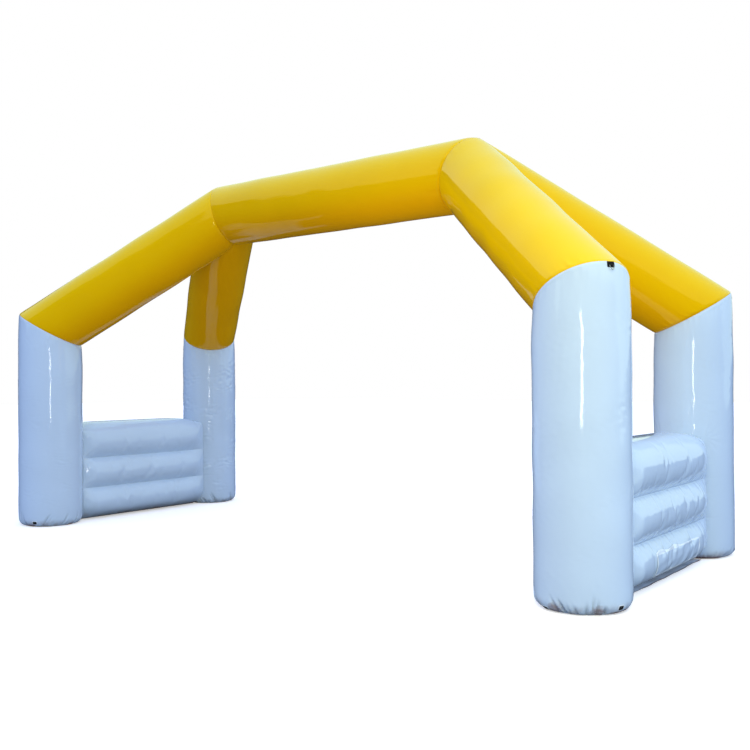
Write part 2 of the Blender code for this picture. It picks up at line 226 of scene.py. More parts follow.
class Graph(Nodes):
    """A material's nodes, round its Principled shader."""

    def __init__(self, name: str) -> None:
        """Start a material that holds only its Principled shader and output."""
        self.material = bpy.data.materials.new(name)
        self.material.use_nodes = True
        super().__init__(self.material.node_tree.nodes, self.material.node_tree.links)
        self.shader = self.nodes["Principled BSDF"]

    def place(self) -> Socket:
        """Place on the arch."""
        return self.add("ShaderNodeTexCoord").outputs["Object"]

    def flat_place(self) -> tuple[Socket, Socket]:
        """Place on the flat cloth, in metres across and along."""
        parts = self.add("ShaderNodeSeparateXYZ")
        self.join(self.add("ShaderNodeUVMap", uv_map="cloth").outputs["UV"], parts.inputs["Vector"])
        return parts.outputs["X"], parts.outputs["Y"]

    def bump(self, height: Socket) -> None:
        """Let a height in metres turn the shader's normal."""
        node = self.add("ShaderNodeBump")
        node.inputs["Strength"].default_value = 1.0
        node.inputs["Distance"].default_value = 1.0
        self.join(height, node.inputs["Height"])
        self.join(node.outputs["Normal"], self.shader.inputs["Normal"])


@dataclass(frozen=True)
class CoatedCloth:
    """Glossy coated cloth whose scrim shows faintly through its skin.

    The weave and the fine crinkles lie on the flat cloth, in the mesh's own map, and the
    crinkles run across the length of each tube. Dirt gathers near the ground. Cloth that
    faces up takes a lighter colour, painted light, and cloth that faces down a darker one, painted shade.

    Attributes:
        name: Name of the material.
        colour: Colour of the upright cloth.
        painted_lit_colour: Lighter colour of cloth that faces up, painted light.
        deep: Darker colour of cloth that faces down, painted shade.
        roughness: Roughness of the gloss.
        dirt_and_shadow: Whether the lowest cloth is dirty.
        weave_pitch: Pitch of the scrim.
        weave_depth: Height of the scrim under the coating.
        crinkle_length: Length of a crinkle along the tube.
        crinkle_width: Length of a crinkle around the tube.
        crinkle_depth: Height of the crinkles.
        gloss_tint: Tint of what the gloss mirrors.
        brown_patches: Middles of the two dark reddish-brown patches low on the nearest foot.
    """

    name: str
    colour: tuple[float, float, float]
    painted_lit_colour: tuple[float, float, float]
    deep: tuple[float, float, float]
    roughness: float
    dirt_and_shadow: bool
    weave_pitch: float = 0.0016
    weave_depth: float = 0.000003
    crinkle_length: float = 0.020
    crinkle_width: float = 0.090
    crinkle_depth: float = 0.00016
    gloss_tint: tuple[float, float, float] = (1.0, 1.0, 1.0)
    brown_patches: tuple[tuple[float, float, float], ...] = ((3.225, -1.560, 0.022), (3.520, -1.480, 0.008))

    def weave(self, graph: Graph, u: Socket, v: Socket) -> Socket:
        """Height of the scrim under the coating, from the place on the flat cloth."""
        turn = 2 * math.pi / self.weave_pitch
        warp = graph.calculate("SINE", graph.calculate("MULTIPLY", u, turn))
        weft = graph.calculate("SINE", graph.calculate("MULTIPLY", v, turn))
        return graph.calculate("MULTIPLY", graph.calculate("MULTIPLY", warp, weft), self.weave_depth)

    def crinkle(self, graph: Graph, u: Socket, v: Socket) -> Socket:
        """Height of the fine crinkles, from the place on the flat cloth."""
        place = graph.add("ShaderNodeCombineXYZ")
        graph.join(graph.calculate("DIVIDE", u, self.crinkle_width), place.inputs["X"])
        graph.join(graph.calculate("DIVIDE", v, self.crinkle_length), place.inputs["Y"])
        value = graph.noise(place.outputs["Vector"], 1.0, 2.0)
        return graph.calculate("MULTIPLY", value, self.crinkle_depth)

    def soil(self, graph: Graph, place: Socket, height: Socket,
             colour: Socket) -> Socket:
        """Add the splashes and rust spots that the ground leaves on the lowest cloth, and darken two
        reddish-brown patches on the nearest foot.
        """
        splash = graph.ramp(graph.noise(place, 9.0, 6.0), 0.42, 0.70)
        near = graph.calculate("SUBTRACT", 1.0, graph.ramp(height, 0.005, 0.110))
        dust = graph.calculate("MULTIPLY", graph.calculate("MULTIPLY", splash, near), 0.55)
        colour = graph.blend(dust, colour, (0.36, 0.30, 0.28))
        spot = graph.ramp(graph.noise(place, 4.5, 4.0), 0.50, 0.60)
        low = graph.calculate("SUBTRACT", 1.0, graph.ramp(height, 0.004, 0.050))
        rust = graph.calculate("MULTIPLY", graph.calculate("MULTIPLY", spot, low), 0.80)
        colour = graph.blend(rust, colour, (0.22, 0.085, 0.055))
        # Darken the nearest foot in two reddish-brown patches.
        for brown_patch in self.brown_patches:
            away = graph.add("ShaderNodeVectorMath", operation="DISTANCE")
            graph.join(place, away.inputs[0])
            away.inputs[1].default_value = brown_patch
            torn = graph.noise(place, 30.0, 4.0)
            ragged = graph.calculate("MULTIPLY_ADD", torn, 0.090, away.outputs["Value"])
            share = graph.calculate("SUBTRACT", 1.0, graph.ramp(ragged, 0.075, 0.125))
            colour = graph.blend(graph.calculate("MULTIPLY", share, 0.62), colour, (0.20, 0.085, 0.060))
        return colour

    def material(self) -> bpy.types.Material:
        """Build the finish.

        Returns:
            The new material.
        """
        graph = Graph(self.name)
        place = graph.place()
        upright = graph.add("ShaderNodeSeparateXYZ")
        graph.join(place, upright.inputs["Vector"])
        facing = graph.add("ShaderNodeSeparateXYZ")
        graph.join(graph.add("ShaderNodeNewGeometry").outputs["Normal"], facing.inputs["Vector"])
        u, v = graph.flat_place()

        # Painted light and shade: cloth is painted lighter where it faces up and darker where it faces down.
        top = graph.ramp(facing.outputs["Z"], 0.0, 1.0)
        below = graph.ramp(graph.calculate("MULTIPLY", facing.outputs["Z"], -1.0), 0.0, 0.9)
        colour = graph.blend(top, self.colour, self.painted_lit_colour)
        colour = graph.blend(below, colour, self.deep)
        cloudy = graph.noise(place, 1.3, 4.0)
        patchy = graph.blend(graph.ramp(cloudy, 0.35, 0.65), (0.965, 0.965, 0.965), (1.0, 1.0, 1.0))
        colour = graph.blend(1.0, colour, patchy, "MULTIPLY")
        if self.dirt_and_shadow:
            colour = self.soil(graph, place, upright.outputs["Z"], colour)
        graph.join(colour, graph.shader.inputs["Base Color"])

        scuffed = graph.noise(place, 7.0, 5.0)
        rough = graph.calculate("MULTIPLY_ADD", scuffed, 0.08, self.roughness - 0.04)
        graph.join(rough, graph.shader.inputs["Roughness"])
        graph.shader.inputs["Specular Tint"].default_value = (*self.gloss_tint, 1.0)
        graph.bump(graph.calculate("ADD", self.weave(graph, u, v), self.crinkle(graph, u, v)))
        return graph.material


@dataclass(frozen=True)
class WovenWebbing:
    """Heavy matt webbing in a plain weave, its ribs across the band."""

    name: str
    colour: tuple[float, float, float]
    worn: tuple[float, float, float]
    rib_pitch: float = 0.0018
    yarn_pitch: float = 0.0011
    depth: float = 0.00012

    def material(self) -> bpy.types.Material:
        """Build the finish.

        Returns:
            The new material.
        """
        graph = Graph(self.name)
        turn = 2 * math.pi
        across, along = graph.flat_place()
        rib = graph.calculate("SINE", graph.calculate("MULTIPLY", along, turn / self.rib_pitch))
        yarn = graph.calculate("SINE", graph.calculate("MULTIPLY", across, turn / self.yarn_pitch))
        height = graph.calculate("MULTIPLY", graph.calculate("ADD", rib, yarn), self.depth / 2)
        graph.bump(height)
        place = graph.place()
        fluff = graph.ramp(graph.noise(place, 90.0, 6.0), 0.45, 0.75)
        graph.join(graph.blend(fluff, self.colour, self.worn), graph.shader.inputs["Base Color"])
        graph.shader.inputs["Roughness"].default_value = 0.78
        graph.shader.inputs["Sheen Weight"].default_value = 0.05
        graph.shader.inputs["Specular IOR Level"].default_value = 0.12
        return graph.material


@dataclass(frozen=True)
class PlatedSteel:
    """Zinc-plated wire, brushed along its length by use."""

    name: str
    colour: tuple[float, float, float]
    tarnish: tuple[float, float, float]

    def material(self) -> bpy.types.Material:
        """Build the finish.

        Returns:
            The new material.
        """
        graph = Graph(self.name)
        place = graph.place()
        dull = graph.ramp(graph.noise(place, 160.0, 5.0), 0.45, 0.72)
        graph.join(graph.blend(dull, self.colour, self.tarnish), graph.shader.inputs["Base Color"])
        rough = graph.calculate("MULTIPLY_ADD", dull, 0.22, 0.20)
        graph.join(rough, graph.shader.inputs["Roughness"])
        graph.shader.inputs["Metallic"].default_value = 1.0
        scratches = graph.noise(place, 900.0, 2.0)
        graph.bump(graph.calculate("MULTIPLY", scratches, 0.00002))
        return graph.material


@dataclass(frozen=True)
class BondedThread:
    """Polyester sewing thread with a slight twist."""

    name: str
    colour: tuple[float, float, float]

    def material(self) -> bpy.types.Material:
        """Build the finish.

        Returns:
            The new material.
        """
        graph = Graph(self.name)
        place = graph.place()
        worn = graph.noise(place, 400.0, 2.0)
        dark = tuple(0.72 * part for part in self.colour)
        graph.join(graph.blend(worn, dark, self.colour), graph.shader.inputs["Base Color"])
        graph.shader.inputs["Roughness"].default_value = 0.6
        graph.bump(graph.calculate("MULTIPLY", worn, 0.0001))
        return graph.material


class Finishes:
    """All the finishes of the arch, built once."""

    def __init__(self) -> None:
        """Build each material."""
        # Each finish's colour for upward faces is painted light and its colour for downward faces painted
        # shade; the yellow's shade is painted more orange.
        self.white = CoatedCloth(
            name="white coated cloth",
            colour=(0.55, 0.671, 0.789),
            painted_lit_colour=(0.561, 0.687, 0.809),
            deep=(0.528, 0.655, 0.789),
            roughness=0.09,
            dirt_and_shadow=True,
        ).material()
        self.yellow = CoatedCloth(
            name="yellow coated cloth",
            colour=(0.83, 0.470, 0.0007),
            painted_lit_colour=(0.91, 0.60, 0.0014),
            deep=(0.831, 0.378, 0.0004),
            roughness=0.08,
            dirt_and_shadow=False,
            gloss_tint=(1.0, 0.92, 0.35),
        ).material()
        # Pale tape: the stake tabs' patches, and the flap's doubled edges, where its lighter colour is a
        # painted highlight.
        self.pale_patch_and_hem_highlight = CoatedCloth(
            name="white tape",
            colour=(0.80, 0.88, 0.92),
            painted_lit_colour=(0.80, 0.88, 0.92),
            deep=(0.74, 0.84, 0.90),
            roughness=0.14,
            dirt_and_shadow=True,
            crinkle_depth=0.00008,
        ).material()
        # Ground strip: a base colour far paler than the white cloth's, painted light that keeps the strip
        # bright in the wall's shade.
        self.strip = CoatedCloth(
            name="strip cloth",
            colour=(0.94, 0.96, 0.97),
            painted_lit_colour=(0.94, 0.96, 0.97),
            deep=(0.80, 0.88, 0.92),
            roughness=0.14,
            dirt_and_shadow=False,
            crinkle_depth=0.00008,
        ).material()
        # Dark edge of the ground strip: a painted shadow line along its outer edge, with ground dirt on it.
        self.dirt_and_shadow = CoatedCloth(
            name="soiled edge",
            colour=(0.20, 0.17, 0.17),
            painted_lit_colour=(0.24, 0.20, 0.20),
            deep=(0.16, 0.13, 0.13),
            roughness=0.5,
            dirt_and_shadow=True,
        ).material()
        self.webbing = WovenWebbing("black webbing", (0.006, 0.006, 0.007), (0.022, 0.022, 0.025)).material()
        self.steel = PlatedSteel("plated wire", (0.66, 0.67, 0.68), (0.34, 0.33, 0.32)).material()
        self.white_thread = BondedThread("white thread", (0.70, 0.80, 0.90)).material()
        self.yellow_thread = BondedThread("yellow thread", (0.78, 0.50, 0.03)).material()
        self.grey_thread = BondedThread("grey thread", (0.026, 0.026, 0.028)).material()


class Waves:
    """Smooth unevenness in two directions, the same at each run."""

    def __init__(self, seed: int, lengths: tuple[float, float], count: int = 14) -> None:
        """Choose the waves.

        Args:
            seed: Number that fixes the choice.
            lengths: Typical wavelengths in the two directions, in metres.
            count: Number of waves that are added.
        """
        chance = np.random.RandomState(seed)
        angle = chance.uniform(0.0, 2 * math.pi, count)
        stretch = chance.uniform(0.6, 1.6, count)
        self.u = 2 * math.pi * np.cos(angle) * stretch / lengths[0]
        self.v = 2 * math.pi * np.sin(angle) * stretch / lengths[1]
        self.start = chance.uniform(0.0, 2 * math.pi, count)

    def at(self, u: Array, v: Array) -> Array:
        """Unevenness at places, mostly between -1 and 1."""
        u, v = np.broadcast_arrays(u, v)
        total = np.zeros(u.shape)
        for step_u, step_v, start in zip(self.u, self.v, self.start):
            total += np.sin(step_u * u + step_v * v + start)
        return total * math.sqrt(2.0 / len(self.start))


def smooth(value: Array, low: float, high: float) -> Array:
    """Smooth step from 0 at the low value to 1 at the high one."""
    share = np.clip((value - low) / (high - low), 0.0, 1.0)
    return share * share * (3.0 - 2.0 * share)


def mesh_object(
    name: str,
    points: Array,
    faces: Sequence[Sequence[int]],
    flat: Array | None = None,
) -> Object:
    """Make a smooth closed mesh object, its faces pointing out.

    Args:
        name: Name of the object.
        points: One row for each point.
        faces: Point numbers of each face.
        flat: Place on the flat cloth of each face's corners, one row after another.

    Returns:
        The new object, linked to the scene.
    """
    mesh = bpy.data.meshes.new(name)
    mesh.from_pydata(points.tolist(), [], [tuple(face) for face in faces])
    if flat is not None:
        layer = mesh.uv_layers.new(name="cloth")
        layer.data.foreach_set("uv", flat.astype(np.float32).ravel())
    bm = bmesh.new()
    bm.from_mesh(mesh)
    bmesh.ops.remove_doubles(bm, verts=bm.verts, dist=0.00001)
    bmesh.ops.recalc_face_normals(bm, faces=bm.faces)
    bm.to_mesh(mesh)
    bm.free()
    mesh.shade_smooth()
    obj = bpy.data.objects.new(name, mesh)
    bpy.context.scene.collection.objects.link(obj)
    return obj


@dataclass
class Grid:
    """Rows of points around a tube or wall, with each point's place on the flat cloth.

    Attributes:
        points: Rows, columns and X, Y, Z. The last column meets the first.
        flat: Rows, one more column than the points, and two places on the cloth.
        first_cap: Point that closes the first row, or None to leave it open.
        last_cap: Point that closes the last row, or None to leave it open.
    """

    points: Array
    flat: Array
    first_cap: Array | None = None
    last_cap: Array | None = None

    def moved(self, change: Move) -> "Grid":
        """The same rows with each point changed."""
        caps = [None if cap is None else change(cap) for cap in (self.first_cap, self.last_cap)]
        return Grid(change(self.points), self.flat, *caps)

    def quads(self) -> list[tuple[int, int, int, int]]:
        """Point numbers of the faces between the rows."""
        rows, columns = self.points.shape[:2]
        return [
            (row * columns + column, row * columns + (column + 1) % columns,
             (row + 1) * columns + (column + 1) % columns, (row + 1) * columns + column)
            for row in range(rows - 1)
            for column in range(columns)
        ]

    def build(self, name: str) -> Object:
        """Make the mesh object.

        Args:
            name: Name of the object.

        Returns:
            The new object.
        """
        rows, columns = self.points.shape[:2]
        points = self.points.reshape(-1, 3)
        flat = self.flat
        faces = list(self.quads())
        sides = (flat[:-1, :-1], flat[:-1, 1:], flat[1:, 1:], flat[1:, :-1])
        corners = [np.stack(sides, axis=2).reshape(-1, 2)]
        for cap, row in ((self.first_cap, 0), (self.last_cap, rows - 1)):
            if cap is None:
                continue
            points = np.vstack((points, cap))
            first = row * columns
            for column in range(columns):
                faces.append((first + column, first + (column + 1) % columns, len(points) - 1))
            sides = (flat[row, :-1], flat[row, 1:], flat[row, :-1])
            corners.append(np.stack(sides, axis=1).reshape(-1, 2))
        return mesh_object(name, points, faces, np.vstack(corners))


class Surface:
    """Skin of a built piece, on which others lie."""

    def __init__(self, points: Sequence[Sequence[float]], faces: Sequence[Sequence[int]]) -> None:
        """Take the skin's points and faces."""
        self.tree = BVHTree.FromPolygons(points, faces)

    @classmethod
    def of_object(cls, obj: Object) -> "Surface":
        """Skin of a mesh object that lies at the origin."""
        points = [tuple(vert.co) for vert in obj.data.vertices]
        return cls(points, [tuple(face.vertices) for face in obj.data.polygons])

    def frame(self, start: Vector, towards: Vector) -> Matrix:
        """Frame where a ray meets the skin: x across, y up and z out of it.

        Args:
            start: Where the ray starts, outside the skin.
            towards: Direction of the ray.

        Returns:
            The frame as a matrix.
        """
        place, normal, _, _ = self.tree.ray_cast(start, towards)
        if normal.dot(towards) > 0:
            normal = -normal
        across = Vector((0.0, 0.0, 1.0)).cross(normal).normalized()
        axes = Matrix((across, normal.cross(across), normal)).transposed().to_4x4()
        return Matrix.Translation(place) @ axes

    def lay(self, frame: Matrix, x: Array, y: Array, reach: float = 0.05) -> Array:
        """Bring points of a flat frame down to the skin.

        Args:
            frame: The flat frame.
            x: Places across.
            y: Places up.
            reach: Height above the frame from which the points come down.

        Returns:
            The points on the skin, and X, Y and Z of the skin's direction there, side by side.
        """
        down = -(frame.to_3x3() @ Vector((0.0, 0.0, 1.0)))
        found = np.zeros(x.shape + (6,))
        for index in np.ndindex(x.shape):
            start = frame @ Vector((x[index], y[index], reach))
            place, normal, _, _ = self.tree.ray_cast(start, down)
            if place is None:
                place, normal = start + reach * down, -down
            if normal.dot(down) > 0:
                normal = -normal
            found[index] = (*place, *normal)
        return found


def shell(name: str, top: Array, bottom: Array, flat: Array) -> Object:
    """Close two grids of points, one over the other, into a thin piece.

    Args:
        name: Name of the object.
        top: Rows, columns and X, Y, Z of the upper side.
        bottom: The same for the lower side.
        flat: Rows, columns and place on the flat cloth.

    Returns:
        The new object.
    """
    rows, columns = top.shape[:2]
    under = rows * columns
    faces = []
    for row in range(rows - 1):
        for column in range(columns - 1):
            first = row * columns + column
            face = (first, first + 1, first + columns + 1, first + columns)
            faces.append(face)
            faces.append(tuple(under + corner for corner in reversed(face)))
    edge = list(range(columns))
    edge += [row * columns + columns - 1 for row in range(1, rows)]
    edge += [(rows - 1) * columns + column for column in range(columns - 2, -1, -1)]
    edge += [row * columns for row in range(rows - 2, 0, -1)]
    for here, after in zip(edge, edge[1:] + edge[:1]):
        faces.append((after, here, under + here, under + after))
    places = np.vstack((flat.reshape(-1, 2), flat.reshape(-1, 2)))
    corners = np.array([places[corner] for face in faces for corner in face])
    return mesh_object(name, np.vstack((top.reshape(-1, 3), bottom.reshape(-1, 3))), faces, corners)


def sweep(path: Array, plane: Sequence[float], section: Array, closed: bool) -> Grid:
    """Carry a section along a flat path.

    Args:
        path: Points of the path.
        plane: Direction square to the path's plane.
        section: Points of the section: along the plane's direction, and across the path.
        closed: Whether the path closes on itself.

    Returns:
        The swept rows.
    """
    if closed:
        ahead, behind = np.roll(path, -1, axis=0), np.roll(path, 1, axis=0)
    else:
        ahead, behind = np.vstack((path[1:], path[-1:])), np.vstack((path[:1], path[:-1]))
    tangent = ahead - behind
    tangent /= np.linalg.norm(tangent, axis=1)[:, None]
    side = np.array(plane, float)
    out = np.cross(tangent, side)
    points = path[:, None] + section[None, :, :1] * side + section[None, :, 1:] * out[:, None]
    if closed:
        points = np.vstack((points, points[:1]))
        path = np.vstack((path, path[:1]))
    steps = np.linalg.norm(np.diff(path, axis=0), axis=1)
    along = np.concatenate(([0.0], np.cumsum(steps)))
    wide = np.append(section[:, 0], section[0, 0])
    flat = np.stack(np.broadcast_arrays(wide[None, :], along[:, None]), axis=-1)
    return Grid(points, flat, None if closed else path[0], None if closed else path[-1])


def band_section(width: float, thickness: float, steps: int = 8) -> Array:
    """Section of a webbing band with rounded selvedges."""
    half = width / 2 - thickness / 2
    turns = np.linspace(-math.pi / 2, math.pi / 2, steps)
    right = np.stack((half + thickness / 2 * np.cos(turns), thickness / 2 * np.sin(turns)), axis=1)
    flat_run = np.linspace(half, -half, 12)[1:-1]
    upper = np.stack((flat_run, np.full(flat_run.shape, thickness / 2)), axis=1)
    left = -right
    return np.vstack((right, upper, left, -upper))


@dataclass(frozen=True)
class Seam:
    """Plane in which one tube is sewn to its neighbour.

    Attributes:
        joint: Point where the tubes' axes meet.
        along: Direction of the tube, away from the joint.
        neighbour: Direction of the other tube, away from the joint.
    """

    joint: tuple[float, float, float]
    along: tuple[float, float, float]
    neighbour: tuple[float, float, float]

    @property
    def normal(self) -> Array:
        """Direction square to the plane, on the tube's own side."""
        across = np.array(self.along) - np.array(self.neighbour)
        return across / np.linalg.norm(across)

    def distance(self, points: Array) -> Array:
        """Distance of points from the plane, on the tube's own side."""
        return (points - np.array(self.joint)) @ self.normal

    def axis_points(self, points: Array) -> Array:
        """Where the tube's axis crosses the parallel planes through points."""
        along = np.array(self.along)
        reach = self.distance(points) / (along @ self.normal)
        return np.array(self.joint) + reach[..., None] * along


@dataclass
class TubeShape:
    """How a tube draws in and puckers beside its seams.

    Attributes:
        radius: Radius of the full tube.
        seam_radius: Radius at a seam, apart from the rounded edge.
        pull: Length over which the tube draws in to the seam.
        edge_width: Width of the rounded edge beside the seam.
        edge_drop: How far the edge rounds in.
        pucker: Depth of the gathers that leave the seam.
        pucker_length: How far the gathers reach.
        uneven: Height of the slow unevenness of the whole tube.
    """

    radius: float
    seam_radius: float
    pull: float
    edge_width: float = 0.022
    edge_drop: float = 0.0045
    pucker: float = 0.0016
    pucker_length: float = 0.150
    uneven: float = 0.0016

    def draw_in(self, points: Array, seams: Sequence[Seam]) -> Array:
        """Narrow a tube towards its nearest seam and round its edge there."""
        distances = np.stack([seam.distance(points) for seam in seams])
        nearest = distances.argmin(axis=0)
        moved = points.copy()
        for number, seam in enumerate(seams):
            here = (nearest == number)[..., None]
            reach = np.clip(distances[number], 0.0, None)
            slow = np.clip(1.0 - reach / self.pull, 0.0, 1.0)
            quick = np.clip(1.0 - reach / self.edge_width, 0.0, 1.0)
            size = 1.0 - (1.0 - self.seam_radius / self.radius) * slow ** 2
            size -= self.edge_drop / self.radius * quick ** 2.2
            centre = seam.axis_points(points)
            moved = np.where(here, centre + (points - centre) * size[..., None], moved)
        return moved


class Tube:
    """Air tube between two ends, each of them a mitred seam or left to a foot."""

    # Rows beside a seam, as distances from it along the tube
    SEAM_ROWS = (
        0.0, 0.003, 0.006, 0.010, 0.015, 0.022, 0.031,
        0.042, 0.056, 0.074, 0.096, 0.122, 0.150, 0.185,
    )

    def __init__(
        self,
        name: str,
        start: Sequence[float],
        end: Sequence[float],
        shape: TubeShape,
        start_seams: Sequence[Seam],
        end_seams: Sequence[Seam],
        columns: int = 180,
        middle_rows: int = 60,
        seed: int = 1,
    ) -> None:
        """Set the tube's axis, seams and fineness.

        Args:
            name: Name of the piece.
            start: First end of the axis.
            end: Last end of the axis.
            shape: How the tube draws in and puckers.
            start_seams: Seams at the first end.
            end_seams: Seams at the last end.
            columns: Number of points around the tube.
            middle_rows: Number of rows between those beside the seams.
            seed: Number that fixes the tube's own unevenness.
        """
        self.name = name
        self.start = np.array(start, float)
        self.end = np.array(end, float)
        self.shape = shape
        self.start_seams = list(start_seams)
        self.end_seams = list(end_seams)
        self.columns = columns
        self.middle_rows = middle_rows
        self.seed = seed
        self.axis = (self.end - self.start) / np.linalg.norm(self.end - self.start)
        down = np.array((0.0, 0.0, -1.0))
        side = down - self.axis * (down @ self.axis)
        self.side = side / np.linalg.norm(side)
        self.other = np.cross(self.axis, self.side)

    def spokes(self, angles: Array) -> Array:
        """Unit directions from the axis at angles counted from the lowest side."""
        return np.cos(angles)[:, None] * self.side + np.sin(angles)[:, None] * self.other

    def reach(self, angles: Array, seams: Sequence[Seam]) -> Array:
        """How far along the axis the line at each angle meets the seams.

        Args:
            angles: Angles around the tube.
            seams: Seams at one end.

        Returns:
            Distances from the start of the axis, one column for each seam.
        """
        edge = self.start + self.shape.radius * self.spokes(angles)
        found = [(GAP / 2 - seam.distance(edge)) / (self.axis @ seam.normal) for seam in seams]
        return np.stack(found, axis=1)

    def angles(self) -> Array:
        """Angles around the tube, with one exactly where two seams meet."""
        even = np.arange(self.columns) * 2 * math.pi / self.columns
        fine = np.linspace(0.0, 2 * math.pi, 72001)
        for seams in (self.start_seams, self.end_seams):
            if len(seams) < 2:
                continue
            both = self.reach(fine, seams)
            change = np.sign(both[:, 0] - both[:, 1])
            for place in np.flatnonzero(change[1:] * change[:-1] < 0):
                nearest = np.abs(even - fine[place]).argmin()
                even[nearest] = (fine[place] + fine[place + 1]) / 2
        return even

    def ends(self, angles: Array) -> tuple[Array, Array]:
        """First and last place along the axis at each angle."""
        first = self.reach(angles, self.start_seams).max(axis=1)
        last = self.reach(angles, self.end_seams).min(axis=1)
        return first, last

    def stations(self, first: Array, last: Array) -> Array:
        """Places along the axis of every row, at each angle."""
        near = np.array(self.SEAM_ROWS)
        start_rows = first[None, :] + near[:, None]
        end_rows = last[None, :] - near[::-1, None]
        share = np.linspace(0.0, 1.0, self.middle_rows + 2)[1:-1, None]
        middle = start_rows[-1] + (end_rows[0] - start_rows[-1]) * share
        return np.vstack((start_rows, middle, end_rows))

    def relief(
        self, angles: Array, places: Array, first: Array, last: Array
    ) -> Array:
        """Height of the gathers and the unevenness, out from the axis.

        Args:
            angles: Angles around the tube.
            places: Places along the axis, a row at a time.
            first: First place along the axis at each angle.
            last: Last place along the axis at each angle.

        Returns:
            Heights in metres, in the shape of the places.
        """
        shape = self.shape
        around = shape.radius * angles[None, :]
        height = shape.uneven * self.slow.at(np.sin(angles)[None, :], places)
        for number, distance in enumerate((places - first[None, :], last[None, :] - places)):
            gathers = Waves(self.seed * 10 + number, (0.055, 5.0), 18).at(around, 0.0 * places)
            patchy = 0.5 + 0.5 * Waves(self.seed * 10 + 5 + number, (0.45, 5.0), 6).at(around, 0.0 * places)
            ahead = np.clip(1.0 - distance / shape.pucker_length, 0.0, 1.0)
            fade = smooth(distance, 0.004, 0.035) * ahead ** 1.7
            height += shape.pucker * gathers * np.clip(patchy, 0.15, 1.2) * fade
        away = np.minimum(places - first[None, :], last[None, :] - places)
        return height * smooth(away, 0.0, 0.030)

    @property
    def slow(self) -> Waves:
        """Slow unevenness of the whole tube."""
        return Waves(self.seed, (2.5, 0.75), 12)

    def seams(self) -> list[Seam]:
        """All the tube's seams."""
        return self.start_seams + self.end_seams

    def grid(self) -> Grid:
        """Shape the tube.

        Returns:
            The tube's rows of points, closed at each end on its seams.
        """
        angles = self.angles()
        first, last = self.ends(angles)
        places = self.stations(first, last)
        height = self.relief(angles, places, first, last)
        spokes = self.spokes(angles)
        radius = self.shape.radius + height
        points = self.start + places[..., None] * self.axis + radius[..., None] * spokes[None]
        points = self.shape.draw_in(points, self.seams())
        wide = np.append(angles, angles[0] + 2 * math.pi) * self.shape.radius
        along = np.hstack((places, places[:, :1]))
        flat = np.stack(np.broadcast_arrays(wide[None, :], along), axis=-1)
        inset = GAP / 2
        return Grid(
            points,
            flat,
            np.array(self.start_seams[0].joint) + self.axis * inset,
            np.array(self.end_seams[0].joint) - self.axis * inset,
        )

    def seam_line(self, last: bool, distance: float, proud: float = 0.0004) -> Array:
        """Closed line on the tube at a distance from the seam at one end.

        Args:
            last: Whether the end is the last one.
            distance: Distance from the seam along the tube.
            proud: How far the line stands off the tube.

        Returns:
            Points of the line, one for each column.
        """
        angles = self.angles()
        first, final = self.ends(angles)
        places = (final - distance if last else first + distance)[None, :]
        height = self.relief(angles, places, first, final)
        radius = self.shape.radius + height + proud
        points = self.start + places[..., None] * self.axis + radius[..., None] * self.spokes(angles)[None]
        return self.shape.draw_in(points, self.seams())[0]


@dataclass
class ArchSizes:
    """Driving sizes of the frame of tubes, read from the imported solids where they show."""

    eaves_height: float = 2.232
    ridge_half: float = 1.626
    seam_radius: float = 0.338
    leg_pull: float = 0.300
    beam_pull: float = 0.120

    def __post_init__(self) -> None:
        """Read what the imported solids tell."""
        low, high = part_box("leg_front_right")
        self.leg_x = (low.x + high.x) / 2
        self.leg_y = -(low.y + high.y) / 2
        self.leg_radius = (high.x - low.x) / 2
        low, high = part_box("ridge")
        self.ridge_height = (low.z + high.z) / 2
        self.beam_radius = (high.z - low.z) / 2
        low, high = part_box("wall_right")
        self.wall_top = high.z
        self.wall_foot = low.z
        self.wall_crown = (high.x - low.x) / 2

    @property
    def eaves(self) -> Array:
        """Joint of the leg and the rafter at the front right corner."""
        return np.array((self.leg_x, -self.leg_y, self.eaves_height))

    @property
    def ridge_end(self) -> Array:
        """Joint of the ridge and the two right rafters."""
        return np.array((self.ridge_half, 0.0, self.ridge_height))

    @property
    def uphill(self) -> Array:
        """Direction of the front right rafter, up to the ridge."""
        rise = self.ridge_end - self.eaves
        return rise / np.linalg.norm(rise)


